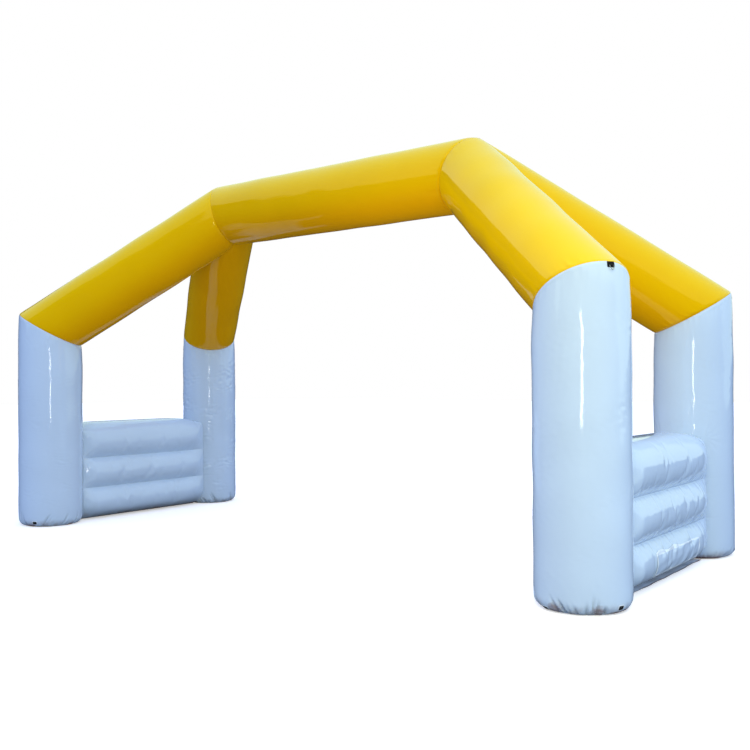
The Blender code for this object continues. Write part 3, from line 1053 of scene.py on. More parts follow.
class StitchRun:
    """Geometry Nodes tree that lays stitches along lines."""

    def __init__(self) -> None:
        """Build the tree with its named inputs."""
        self.tree = bpy.data.node_groups.new("stitch run", "GeometryNodeTree")
        face = self.tree.interface
        face.new_socket("Lines", in_out="INPUT", socket_type="NodeSocketGeometry")
        self.sockets = {}
        for name, kind in (
            ("Pitch", "NodeSocketFloat"),
            ("Length", "NodeSocketFloat"),
            ("Thickness", "NodeSocketFloat"),
            ("Thread", "NodeSocketMaterial"),
            ("Seed", "NodeSocketInt"),
        ):
            self.sockets[name] = face.new_socket(name, in_out="INPUT", socket_type=kind).identifier
        face.new_socket("Stitches", in_out="OUTPUT", socket_type="NodeSocketGeometry")
        nodes, links = self.tree.nodes, self.tree.links
        entry = nodes.new("NodeGroupInput")
        leave = nodes.new("NodeGroupOutput")
        curve = nodes.new("GeometryNodeMeshToCurve")
        points = nodes.new("GeometryNodeCurveToPoints")
        points.mode = "LENGTH"
        bead = nodes.new("GeometryNodeMeshUVSphere")
        bead.inputs["Segments"].default_value = 5
        bead.inputs["Rings"].default_value = 3
        bead.inputs["Radius"].default_value = 0.5
        size = nodes.new("ShaderNodeCombineXYZ")
        vary = nodes.new("FunctionNodeRandomValue")
        vary.data_type = "FLOAT"
        vary.inputs[2].default_value = 0.82
        vary.inputs[3].default_value = 1.0
        longer = nodes.new("ShaderNodeMath")
        longer.operation = "MULTIPLY"
        place = nodes.new("GeometryNodeInstanceOnPoints")
        real = nodes.new("GeometryNodeRealizeInstances")
        paint = nodes.new("GeometryNodeSetMaterial")
        for source, leaves, target, enters in (
            (entry, "Lines", curve, "Mesh"),
            (curve, "Curve", points, "Curve"),
            (entry, "Pitch", points, "Length"),
            (points, "Points", place, "Points"),
            (points, "Rotation", place, "Rotation"),
            (bead, "Mesh", place, "Instance"),
            (entry, "Seed", vary, "Seed"),
            (entry, "Length", longer, 0),
            (vary, 1, longer, 1),
            (entry, "Thickness", size, "X"),
            (entry, "Thickness", size, "Y"),
            (longer, 0, size, "Z"),
            (size, "Vector", place, "Scale"),
            (place, "Instances", real, "Geometry"),
            (real, "Geometry", paint, "Geometry"),
            (entry, "Thread", paint, "Material"),
            (paint, "Geometry", leave, "Stitches"),
        ):
            links.new(source.outputs[leaves], target.inputs[enters])

    def sew(
        self,
        name: str,
        lines: Iterable[tuple[Array, bool]],
        thread: bpy.types.Material,
        slot: Slot,
        stitch: Stitch = Stitch.SEAM,
    ) -> None:
        """Lay stitches along lines, turn them into a plain mesh and tie it to the arch.

        Args:
            name: Name of the piece.
            lines: Points of each line, and whether it closes on itself.
            thread: Material of the thread.
            slot: The record's slot of what they are sewn on.
            stitch: Sizes of the stitches.
        """
        points, edges = [], []
        for line, closed in lines:
            first = len(points)
            points.extend(line.tolist())
            edges.extend((first + step, first + step + 1) for step in range(len(line) - 1))
            if closed:
                edges.append((len(points) - 1, first))
        mesh = bpy.data.meshes.new(name)
        mesh.from_pydata(points, edges, [])
        obj = bpy.data.objects.new(name, mesh)
        bpy.context.scene.collection.objects.link(obj)
        run = obj.modifiers.new("stitches", "NODES")
        run.node_group = self.tree
        for size, value in zip(("Pitch", "Length", "Thickness"), stitch.value):
            run[self.sockets[size]] = value
        run[self.sockets["Thread"]] = thread
        run[self.sockets["Seed"]] = 7
        sewn = bpy.data.meshes.new_from_object(obj.evaluated_get(bpy.context.evaluated_depsgraph_get()))
        obj.modifiers.clear()
        obj.data = sewn
        sewn.name = name
        sewn.shade_smooth()
        finish_piece(obj, slot, None)


def finish_piece(
    obj: Object, slot: Slot, material: bpy.types.Material | None, nodes: Sequence[str] = ()
) -> Object:
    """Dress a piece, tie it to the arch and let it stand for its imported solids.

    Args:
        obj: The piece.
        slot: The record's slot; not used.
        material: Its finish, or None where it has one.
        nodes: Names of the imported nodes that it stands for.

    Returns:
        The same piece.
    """
    if material is not None:
        obj.data.materials.clear()
        obj.data.materials.append(material)
    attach(obj, BODY)
    if nodes:
        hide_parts(*nodes)
    log.info("%s: %d faces", obj.name, len(obj.data.polygons))
    return obj


@dataclass
class Leg:
    """Upright leg with a rounded, puckered foot and creases where the end wall is sewn on.

    Attributes:
        sizes: Driving sizes of the arch.
        corner: The leg's corner.
        rim_radius: Radius of the rounded rim of the foot.
        pucker_depth: Depth of the broad puckers around the foot.
        pucker_count: Number of broad puckers.
        pucker_top: Height where the broad puckers end.
        fold_depth: Depth of the narrow slanted folds of the foot.
        fold_width: Width of a narrow fold.
        fold_reach: Height that the narrow folds reach, on average.
        fold_spread: How much that height varies.
        columns: Number of points around the leg.
        upright_step: Distance between two rows.
        ripple_pitch: Pitch of the level ripples.
    """

    sizes: ArchSizes
    corner: Corner
    rim_radius: float = 0.080
    pucker_depth: float = 0.014
    pucker_count: int = 10
    pucker_top: float = 0.170
    fold_depth: float = 0.0085
    fold_width: float = 0.036
    fold_reach: float = 0.105
    fold_spread: float = 0.050
    columns: int = 200
    upright_step: float = 0.0105
    ripple_pitch: float = 0.042

    # Directions of the two stake tabs, from the leg's own bending plane
    TAB_TURNS = (math.radians(18), math.radians(-81))

    # Slack cloth: height of the level ripples and of the small dents, by corner
    RIPPLES = {
        Corner.FRONT_RIGHT: (0.00010, 0.00026),
        Corner.FRONT_LEFT: (0.00042, 0.00026),
        Corner.BACK_RIGHT: (0.00010, 0.00026),
        Corner.BACK_LEFT: (0.00135, 0.00085),
    }
    SLACK_PITCH = 0.080

    def seam(self) -> Seam:
        """Seam at the top of the leg, at the front right corner."""
        return Seam(tuple(self.sizes.eaves), (0.0, 0.0, -1.0), tuple(self.sizes.uphill))

    def shape(self) -> TubeShape:
        """How the leg draws in to its seam."""
        return TubeShape(self.sizes.leg_radius, self.sizes.seam_radius, self.sizes.leg_pull, pucker=0.0013)

    @property
    def seed(self) -> int:
        """Number that fixes this leg's own unevenness."""
        return 30 + list(Corner).index(self.corner)

    def ripples(self, angles: Array, heights: Array) -> Array:
        """Height of the level ripples and small dents of slack cloth, strongest on the left legs."""
        around = self.sizes.leg_radius * np.angle(np.exp(1j * (angles - self.bend)))
        drift = Waves(self.seed + 500, (0.35, 0.16), 10).at(around, heights)
        pitch = self.SLACK_PITCH if self.corner is Corner.BACK_LEFT else self.ripple_pitch
        level = np.sin(2 * math.pi * heights / pitch + 2.4 * drift)
        dents = Waves(self.seed + 600, (0.085, 0.075), 26).at(around, heights)
        patchy = np.clip(0.6 + 0.5 * Waves(self.seed + 700, (0.5, 0.4), 8).at(around, heights), 0.1, 1.4)
        level_depth, dent_depth = self.RIPPLES[self.corner]
        return (level_depth * level + dent_depth * dents) * patchy

    @property
    def bend(self) -> float:
        """Direction in plan of the leg's bending plane, away from the ridge."""
        sizes = self.sizes
        return math.atan2(-sizes.leg_y, sizes.leg_x - sizes.ridge_half)

    def top(self, angles: Array) -> Array:
        """Height of the seam at each angle around the leg."""
        seam = self.seam()
        sizes = self.sizes
        x = sizes.leg_radius * np.cos(angles)
        y = sizes.leg_radius * np.sin(angles)
        normal = seam.normal
        return sizes.eaves_height + (GAP / 2 - x * normal[0] - y * normal[1]) / normal[2]

    def foot_rows(self) -> list[tuple[float, float]]:
        """Radius and height of the rows of the base and the rim, from the middle outwards."""
        flat = self.sizes.leg_radius - self.rim_radius
        rows = [(flat * share, 0.0) for share in (0.35, 0.65, 0.88, 1.0)]
        for step in range(1, 13):
            angle = math.radians(-90 + 90 * step / 12)
            rows.append((flat + self.rim_radius * math.cos(angle), self.rim_radius * (1 + math.sin(angle))))
        return rows

    def pucker(self, angles: Array, heights: Array, radii: Array) -> Array:
        """Depth of the folds around the foot, deepest on the rim and none at the tabs."""
        turn = angles - self.bend
        wave = (0.5 - 0.5 * np.cos(self.pucker_count * turn)) ** 0.8
        uneven = 0.70 + 0.30 * np.sin(3 * turn + 1.0)
        share = np.ones(turn.shape)
        for tab in self.TAB_TURNS:
            away = np.abs(np.angle(np.exp(1j * (turn - tab))))
            share = np.minimum(share, np.clip((away - math.radians(8)) / math.radians(16), 0.0, 1.0))
        low = np.clip(1.0 - heights / self.pucker_top, 0.0, 1.0)
        main = self.pucker_depth * share * uneven * wave * np.sin(math.pi * 0.70 * low ** 2)
        slant = self.sizes.leg_radius * turn + (0.35 + 0.3 * np.sin(2 * turn + self.seed)) * heights
        fine = Waves(self.seed + 100, (self.fold_width, 60.0), 16).at(slant, heights)
        spread = Waves(self.seed + 150, (0.13, 1.0), 9).at(slant, 0.0 * heights)
        reach = np.clip(self.fold_reach + self.fold_spread * spread, 0.05, 0.18)
        window = smooth(heights, 0.000, 0.016) * (1.0 - smooth(heights / reach, 0.30, 1.0))
        inner = smooth(radii, 0.26, 0.30)
        sharp = np.clip(fine + 0.5, -0.3, 2.2) ** 2 * np.sign(fine + 0.5)
        return (main + self.fold_depth * sharp * share * window) * inner

    def wall_creases(self, angles: Array, heights: Array) -> Array:
        """Height of the creases that the end wall's seams pull into the leg."""
        radius = self.sizes.leg_radius
        side = np.abs(np.angle(np.exp(1j * (angles - math.pi / 2))))
        sewn = math.asin(EndWall.half / radius)
        arc = radius * (side - sewn)
        rise = heights - self.sizes.wall_top + 0.055
        away = np.hypot(arc, rise)
        turn = np.arctan2(rise, arc)
        fan = np.cos(13 * turn + 1.1 * np.sin(self.seed)) * np.exp(-away / 0.085)
        fan *= smooth(away, 0.004, 0.030) * smooth(arc, -0.004, 0.006)
        uneven = Waves(self.seed + 200, (0.16, 0.12), 14).at(arc, heights)
        ticks = np.sin(2 * math.pi * heights / 0.034 + 2.2 * uneven)
        window = smooth(arc, 0.004, 0.030) * np.clip(1.0 - arc / 0.135, 0.0, 1.0) ** 1.3
        tall = smooth(heights, 0.08, 0.20) * (1.0 - smooth(heights, 1.30, 1.62))
        patchy = np.clip(0.35 + 0.65 * Waves(self.seed + 300, (0.3, 0.22), 10).at(arc, heights), 0.0, 1.3)
        height = 0.0034 * fan + 0.0010 * ticks * window * tall * patchy
        for groove in EndWall.grooves:
            tie = np.exp(-((heights - groove) / 0.0075) ** 2) * smooth(arc, -0.003, 0.004)
            height = height - 0.0030 * tie * np.exp(-np.clip(arc, 0.0, None) / 0.11)
        hidden = arc < 0.0
        return np.where(hidden, np.minimum(height, 0.0), height)

    def grid(self) -> Grid:
        """Shape the leg at the front right corner.

        Returns:
            The leg's rows of points, from the middle of its base up to its seam.
        """
        sizes = self.sizes
        shape = self.shape()
        angles = self.bend + math.pi / 2 + np.arange(self.columns) * 2 * math.pi / self.columns
        top = self.top(angles)
        foot = self.foot_rows()
        near = np.array(Tube.SEAM_ROWS)[::-1, None]
        seam_rows = top[None, :] - near
        start = foot[-1][1]
        steps = int((sizes.eaves_height - start) / self.upright_step)
        share = np.linspace(0.0, 1.0, steps + 2)[1:-1, None] ** 1.12
        middle = start + (seam_rows[0] - start) * share
        heights = np.vstack(
            [np.full((1, self.columns), height) for _, height in foot] + [middle, seam_rows]
        )
        radii = np.vstack(
            [np.full((1, self.columns), radius) for radius, _ in foot]
            + [np.full(middle.shape, sizes.leg_radius), np.full(seam_rows.shape, sizes.leg_radius)]
        )
        turn = np.broadcast_to(angles[None, :], heights.shape)
        radii = radii - self.pucker(turn, heights, radii)
        radii = radii + self.wall_creases(turn, heights) * smooth(radii, 0.30, 0.34)
        upper = smooth(heights, 0.10, 0.30)
        away = top[None, :] - heights
        slow = Waves(self.seed, (1.6, 0.55), 12).at(np.sin(turn), heights)
        free = smooth(np.abs(np.angle(np.exp(1j * (turn - math.pi / 2)))), 0.62, 0.75)
        free = np.maximum(free, smooth(heights, sizes.wall_top, sizes.wall_top + 0.10))
        radii = radii + shape.uneven * slow * upper * smooth(away, 0.0, 0.05) * free
        gathers = Waves(self.seed + 400, (0.055, 1.0), 18).at(sizes.leg_radius * turn, 0.0 * heights)
        fade = smooth(away, 0.004, 0.035) * np.clip(1.0 - away / shape.pucker_length, 0.0, 1.0) ** 1.7
        radii = radii + shape.pucker * gathers * fade
        radii = radii + self.ripples(turn, heights) * upper * smooth(away, 0.0, 0.05)
        points = np.stack(
            (sizes.leg_x + radii * np.cos(turn), -sizes.leg_y + radii * np.sin(turn), heights), axis=-1
        )
        points = shape.draw_in(points, [self.seam()])
        wide = np.append(angles, angles[0] + 2 * math.pi) * sizes.leg_radius
        along = np.hstack((heights, heights[:, :1]))
        flat = np.stack(np.broadcast_arrays(wide[None, :], along), axis=-1)
        return Grid(
            points,
            flat,
            np.array((sizes.leg_x, -sizes.leg_y, 0.0)),
            np.array((sizes.leg_x, -sizes.leg_y, sizes.eaves_height - GAP)),
        )

    def build(self, finishes: Finishes, stitches: StitchRun) -> None:
        """Build the leg and its stitches.

        Args:
            finishes: The arch's finishes.
            stitches: The tree that lays stitches.
        """
        grid = self.grid()
        self.surface = Surface(grid.points.reshape(-1, 3).tolist(), grid.quads())
        rows = grid.points.shape[0]
        grid = grid.moved(self.corner.place)
        leg = grid.build(f"leg_{self.corner.label}_cloth")
        finish_piece(leg, Slot.WHITE, finishes.white, [f"leg_{self.corner.label}"])
        seam_row = rows - 1 - STITCH_ROWS
        base_row = len(self.foot_rows()) - STITCH_ROWS
        centre = self.corner.place(np.array((self.sizes.leg_x, -self.sizes.leg_y, 0.0)))
        lines = []
        for row in (seam_row, base_row):
            line = grid.points[row]
            out = line - centre
            out[:, 2] = 0.0
            lines.append((line + 0.0004 * out / np.linalg.norm(out, axis=1)[:, None], True))
        stitches.sew(f"leg_{self.corner.label}_stitches", lines, finishes.white_thread, Slot.WHITE)


@dataclass
class RoofTubes:
    """The four rafters and the ridge."""

    sizes: ArchSizes

    def shape(self) -> TubeShape:
        """How a rafter or the ridge draws in to its seams."""
        return TubeShape(self.sizes.beam_radius, self.sizes.seam_radius, self.sizes.beam_pull)

    def rafter(self, corner: Corner) -> Tube:
        """Rafter at the front right corner, uneven in a corner's own way."""
        sizes = self.sizes
        downhill = -sizes.uphill
        across = downhill * np.array((1.0, -1.0, 1.0))
        start = [Seam(tuple(sizes.eaves), tuple(sizes.uphill), (0.0, 0.0, -1.0))]
        end = [
            Seam(tuple(sizes.ridge_end), tuple(downhill), tuple(across)),
            Seam(tuple(sizes.ridge_end), tuple(downhill), (-1.0, 0.0, 0.0)),
        ]
        seed = 50 + list(Corner).index(corner)
        return Tube(corner.label, sizes.eaves, sizes.ridge_end, self.shape(), start, end, 180, 60, seed)

    def ridge(self) -> Tube:
        """The level ridge, from the left end to the right one."""
        sizes = self.sizes
        mirror = np.array((-1.0, 1.0, 1.0))
        seams = []
        for flip in (mirror, np.ones(3)):
            side = []
            for across in (np.ones(3), np.array((1.0, -1.0, 1.0))):
                inwards = np.array((-1.0, 0.0, 0.0)) * flip
                away = -sizes.uphill * across * flip
                side.append(Seam(tuple(sizes.ridge_end * flip), tuple(inwards), tuple(away)))
            seams.append(side)
        start = sizes.ridge_end * mirror
        return Tube("ridge", start, sizes.ridge_end, self.shape(), seams[0], seams[1], 180, 96, 60)

    def build(self, finishes: Finishes, stitches: StitchRun) -> None:
        """Build the rafters, the ridge and their stitches.

        Args:
            finishes: The arch's finishes.
            stitches: The tree that lays stitches.
        """
        lines = []
        for corner in Corner:
            tube = self.rafter(corner)
            grid = tube.grid().moved(corner.place)
            rafter = grid.build(f"rafter_{corner.label}_cloth")
            finish_piece(rafter, Slot.YELLOW, finishes.yellow, [f"rafter_{corner.label}"])
            for last in (False, True):
                lines.append((corner.place(tube.seam_line(last, 0.026)), True))
        tube = self.ridge()
        ridge = tube.grid().build("ridge_cloth")
        finish_piece(ridge, Slot.YELLOW, finishes.yellow, ["ridge"])
        for last in (False, True):
            lines.append((tube.seam_line(last, 0.026), True))
        stitches.sew("roof_stitches", lines, finishes.yellow_thread, Slot.YELLOW)


@dataclass
class EndWall:
    """Low wall of three stacked air chambers, sewn between two legs.

    Attributes:
        sizes: Driving sizes of the arch.
        side: 1 for the right wall and -1 for the left one.
        half: Half thickness at the grooves and at the legs.
        foot_half: Half width of the flat foot.
        grooves: Heights of the two sewn grooves.
        low_middle: Height of the lowest chamber's middle.
        top_middle: Height where the top chamber begins to round over.
        end_top: Height of the wall's top where it meets a leg.
        squareness: How square the top chamber's shoulders are.
        draw_in: Length over which a chamber's end draws in.
        front_share: Share of that length at the front leg, where it swells more quickly.
        end_squareness: How square the top chamber's shoulders are at a leg.
        underside: How conical the wall is between its lowest chamber and its foot.
        swell: How quickly a chamber swells away from a leg.
        step: Distance between two rows at mid-span.
    """

    sizes: ArchSizes
    side: int
    half: float = 0.200
    foot_half: float = 0.040
    grooves: tuple[float, float] = (0.380, 0.730)
    low_middle: float = 0.200
    top_middle: float = 0.905
    end_top: float = 1.100
    squareness: float = 2.6
    draw_in: float = 0.380
    front_share: float = 0.42
    end_squareness: float = 5.0
    underside: float = 1.60
    swell: float = 1.75
    step: float = 0.018

    # Cloth simulation: air pressure, slack of the cloth, steps, frames and the most that a point moves
    PRESSURE = 4.0
    SLACK = 0.012
    CLOTH_STEPS = 6
    CLOTH_FRAMES = 20
    MOST = 0.012

    @property
    def label(self) -> str:
        """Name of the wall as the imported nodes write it."""
        return "wall_right" if self.side > 0 else "wall_left"

    def crown(self, share: Array) -> Array:
        """Half thickness of a crowned chamber, from its middle line (0) to its groove (1)."""
        chord = (self.grooves[1] - self.grooves[0]) / 2
        rise = self.sizes.wall_crown - self.half
        bend = (chord ** 2 + rise ** 2) / (2 * rise)
        return self.half + np.sqrt(bend ** 2 - (share * chord) ** 2) - (bend - rise)

    def half_section(self) -> tuple[Array, Array]:
        """One half of the wall's section, from the middle of its top to the middle of its foot.

        Returns:
            Rows of thickness and height at a leg then at mid-span, and each row's distance
            from the nearest groove along the section.
        """
        rows = []
        power = 2 / self.squareness
        end_power = 2 / self.end_squareness
        for part in np.linspace(90, 0, 20):
            across = max(0.0, math.cos(math.radians(part)))
            upright = math.sin(math.radians(part))
            end_z = self.top_middle + (self.end_top - self.top_middle) * upright ** end_power
            crown_z = self.top_middle + (self.sizes.wall_top - self.top_middle) * upright ** power
            end_x = self.half * across ** end_power
            rows.append((end_x, end_z, self.sizes.wall_crown * across ** power, crown_z))
        middle = sum(self.grooves) / 2
        stretches = (
            (self.top_middle, self.grooves[1], 0, 1),
            (self.grooves[1], middle, 1, 0),
            (middle, self.grooves[0], 0, 1),
            (self.grooves[0], self.low_middle, 1, 0),
        )
        steps = 11
        for high, low, first, last in stretches:
            for step in range(1, steps + 1):
                share = step / steps
                bent = share ** 1.35 if last == 0 else 1 - (1 - share) ** 1.35
                z = high + (low - high) * bent
                rows.append((self.half, z, float(self.crown(first + (last - first) * bent)), z))
        foot = self.sizes.wall_foot
        for part in np.linspace(0, 90, 13)[1:]:
            z = self.low_middle - (self.low_middle - foot) * math.sin(math.radians(part))
            share = max(0.0, math.cos(math.radians(part))) ** self.underside
            rows.append((
                self.foot_half + (self.half - self.foot_half) * share,
                z,
                self.foot_half + (self.sizes.wall_crown - self.foot_half) * share,
                z,
            ))
        for share in (0.75, 0.5, 0.25, 0.0):
            rows.append((self.foot_half * share, foot, self.foot_half * share, foot))
        table = np.array(rows)
        away = np.min([np.abs(table[:, 3] - groove) for groove in self.grooves], axis=0)
        return table, away

    def leg_surface(self, thickness: Array) -> Array:
        """How far from mid-span a leg's surface lies, at a distance from the wall's middle."""
        radius = self.sizes.leg_radius + GAP
        return self.sizes.leg_y - np.sqrt(radius ** 2 - thickness ** 2)

    def grid(self) -> tuple[Array, Array, Array]:
        """Shape the wall around its own middle.

        Returns:
            Points by station along the wall and place round its section, the share of the
            crown at each station, and each place's distance from the nearest groove.
        """
        table, away = self.half_section()
        table = np.vstack((table, table[-2:0:-1]))
        away = np.concatenate((away, away[-2:0:-1]))
        sign = np.ones(len(table))
        sign[len(table) // 2 + 1:] = -1
        span = self.leg_surface(np.array(0.0)) * 2
        inner = [self.draw_in * part ** 1.25 for part in np.linspace(0, 1, 22)]
        flat_count = int((span - 2 * self.draw_in) / self.step)
        shares = [1 - (1 - distance / self.draw_in) ** self.swell for distance in inner]
        distance = np.array(inner)
        share = np.array(shares)
        rows = []
        crown = []
        for end in (-1, 1):
            order = range(len(distance)) if end < 0 else reversed(range(len(distance)))
            block = []
            for index in order:
                x = table[:, 0] + (table[:, 2] - table[:, 0]) * share[index]
                z = table[:, 1] + (table[:, 3] - table[:, 1]) * share[index]
                reach = distance[index] * (self.front_share if end < 0 else 1.0)
                y = end * (self.leg_surface(table[:, 0]) - reach)
                block.append(np.stack((sign * x, y, z), axis=-1))
                crown.append(share[index])
            rows.append(block)
        left, right = rows[0][-1], rows[1][0]
        between = [left + (right - left) * part for part in np.linspace(0, 1, flat_count + 2)[1:-1]]
        crown = crown[: len(distance)] + [1.0] * len(between) + crown[len(distance):]
        points = np.array(rows[0] + between + rows[1])
        return points, np.array(crown), away

    def wrinkle(self, points: Array, crown: Array, away: Array) -> Array:
        """Add the gathers that leave the grooves and fan out from the wall's ends."""
        seed = 70 + self.side
        y = points[..., 1]
        z = points[..., 2]
        out = np.sign(points[..., 0])
        end = self.leg_surface(np.array(self.half)) - np.abs(y)
        gathers = Waves(seed, (0.060, 0.5), 20).at(y, z)
        patchy = np.clip(0.55 + 0.5 * Waves(seed + 5, (0.35, 0.3), 8).at(y, z), 0.1, 1.3)
        near = np.exp(-away / 0.055)[None, :] * smooth(away, 0.0, 0.020)[None, :]
        height = 0.0038 * gathers * near * patchy * smooth(end, 0.0, 0.05)
        turn = np.arctan2(away[None, :] * np.ones_like(y), np.clip(end, 0.001, None))
        fan = np.sin(9 * turn + 0.9 * Waves(seed + 9, (0.2, 0.2), 8).at(y, z))
        fade = np.exp(-np.clip(end, 0.0, None) / 0.10) * smooth(end, 0.004, 0.05)
        height += 0.0050 * fan * fade * smooth(away, 0.005, 0.04)[None, :]
        body = smooth(np.abs(points[..., 0]), 0.05, 0.15) * (z > self.sizes.wall_foot + 0.01)
        moved = points.copy()
        moved[..., 0] += out * height * body
        return moved

    def build(self, finishes: Finishes, stitches: StitchRun) -> Object:
        """Build the wall and its stitches.

        Args:
            finishes: The arch's finishes.
            stitches: The tree that lays stitches.

        Returns:
            The wall's object.
        """
        points, crown, away = self.grid()
        points = self.wrinkle(points, crown, away)
        rows, columns = points.shape[:2]
        middle = np.array((self.side * self.sizes.leg_x, 0.0, 0.0))
        placed = points * np.array((self.side, 1.0, 1.0)) + middle
        step = np.linalg.norm(np.roll(points, -1, axis=1) - points, axis=-1)[rows // 2]
        around = np.concatenate(([0.0], np.cumsum(step)))
        along = points[:, :1, 1]
        flat = np.stack(np.broadcast_arrays(along, around[None, :]), axis=-1)
        cloth = Grid(placed, flat)
        wall = cloth.build(f"{self.label}_cloth")
        self.close_ends(wall, placed)
        self.inflate(wall)
        sub = wall.modifiers.new("finer", "SUBSURF")
        sub.levels = 1
        sub.render_levels = 1
        fine = bpy.data.meshes.new_from_object(wall.evaluated_get(bpy.context.evaluated_depsgraph_get()))
        wall.modifiers.clear()
        wall.data = fine
        finish_piece(wall, Slot.WHITE, finishes.white, [self.label])
        lines = []
        half = columns // 2
        for groove in self.grooves:
            place = int(np.abs(points[rows // 2, :half, 2] - groove).argmin())
            for column in (place, columns - place):
                line = placed[:, column].copy()
                lines.append((line + np.array((np.sign(line[0, 0] - middle[0]) * 0.0006, 0.0, 0.0)), False))
        stitches.sew(f"{self.label}_stitches", lines, finishes.white_thread, Slot.WHITE)
        return wall

    def sewn_points(self, places: Array) -> Array:
        """Which of the wall's points are held: its ends, its grooves and its foot.

        Args:
            places: One row for each point.

        Returns:
            True for each held point.
        """
        thickness = np.clip(np.abs(places[:, 0] - self.side * self.sizes.leg_x), 0.0, self.half)
        held = np.abs(places[:, 1]) > self.leg_surface(thickness) - 0.0015
        for groove in self.grooves:
            held |= np.abs(places[:, 2] - groove) < 0.0004
        return held | (places[:, 2] < self.sizes.wall_foot + 0.002)

    def inflate(self, wall: Object) -> None:
        """Let air pressure swell and gather the cloth between the lines where it is sewn."""
        mesh = wall.data
        before = np.empty(len(mesh.vertices) * 3)
        mesh.vertices.foreach_get("co", before)
        before = before.reshape(-1, 3)
        held = self.sewn_points(before)
        group = wall.vertex_groups.new(name="sewn")
        group.add(np.flatnonzero(held).tolist(), 1.0, "ADD")
        air = wall.modifiers.new("air", "CLOTH")
        cloth = air.settings
        cloth.quality = self.CLOTH_STEPS
        cloth.vertex_group_mass = group.name
        cloth.use_pressure = True
        cloth.uniform_pressure_force = self.PRESSURE
        cloth.shrink_min = -self.SLACK
        cloth.effector_weights.gravity = 0.0
        air.collision_settings.use_collision = False
        scene = bpy.context.scene
        for number in range(1, self.CLOTH_FRAMES + 1):
            scene.frame_set(number)
        swollen = wall.evaluated_get(bpy.context.evaluated_depsgraph_get()).data
        after = np.empty(len(mesh.vertices) * 3)
        swollen.vertices.foreach_get("co", after)
        scene.frame_set(1)
        wall.modifiers.clear()
        wall.vertex_groups.clear()
        moved = after.reshape(-1, 3) - before
        reach = np.linalg.norm(moved, axis=1)
        log.info("%s: cloth moved %.1f mm at most", wall.name, 1000 * reach.max())
        share = np.minimum(1.0, self.MOST / np.maximum(reach, 1e-9))
        share *= smooth(self.leg_surface(np.array(self.half)) - np.abs(before[:, 1]), -0.02, 0.22)
        share *= smooth(before[:, 2], 0.01, 0.15)
        share[held] = 0.0
        mesh.vertices.foreach_set("co", (before + moved * share[:, None]).ravel())
        mesh.update()

    def close_ends(self, wall: Object, placed: Array) -> None:
        """Close the wall's open ends with cloth that follows the legs."""
        bm = bmesh.new()
        bm.from_mesh(wall.data)
        layer = bm.loops.layers.uv["cloth"]
        rows, columns = placed.shape[:2]
        half = columns // 2
        parts = 8
        for row in (0, rows - 1):
            end = -1 if row == 0 else 1
            strips = []
            for place in range(half + 1):
                right = placed[row, place]
                left = placed[row, (columns - place) % columns]
                strip = []
                for part in np.linspace(0.0, 1.0, parts + 1):
                    point = right + (left - right) * part
                    thickness = point[0] - self.side * self.sizes.leg_x
                    point = point.copy()
                    point[1] = end * self.leg_surface(np.array(thickness))
                    strip.append(bm.verts.new(point))
                strips.append(strip)
            for above, below in zip(strips, strips[1:]):
                for part in range(parts):
                    face = bm.faces.new((above[part], above[part + 1], below[part + 1], below[part]))
                    for loop in face.loops:
                        loop[layer].uv = (loop.vert.co.x, loop.vert.co.z)
        bmesh.ops.remove_doubles(bm, verts=bm.verts, dist=0.00002)
        bmesh.ops.dissolve_degenerate(bm, dist=0.00001, edges=bm.edges)
        bmesh.ops.recalc_face_normals(bm, faces=bm.faces)
        bm.to_mesh(wall.data)
        bm.free()
        wall.data.shade_smooth()


def on_frame(frame: Matrix, points: Array) -> Array:
    """Bring points from a frame's own axes to the arch's."""
    matrix = np.array(frame)
    return points @ matrix[:3, :3].T + matrix[:3, 3]


def box_runs(wide: float, low: float, high: float, cross: bool) -> list[tuple]:
    """First and last place of each straight run of a box stitch, with or without its cross."""
    corners = [(-wide, low), (wide, low), (wide, high), (-wide, high)]
    runs = list(zip(corners, corners[1:] + corners[:1]))
    if cross:
        runs += [(corners[0], corners[2]), (corners[1], corners[3])]
    return runs


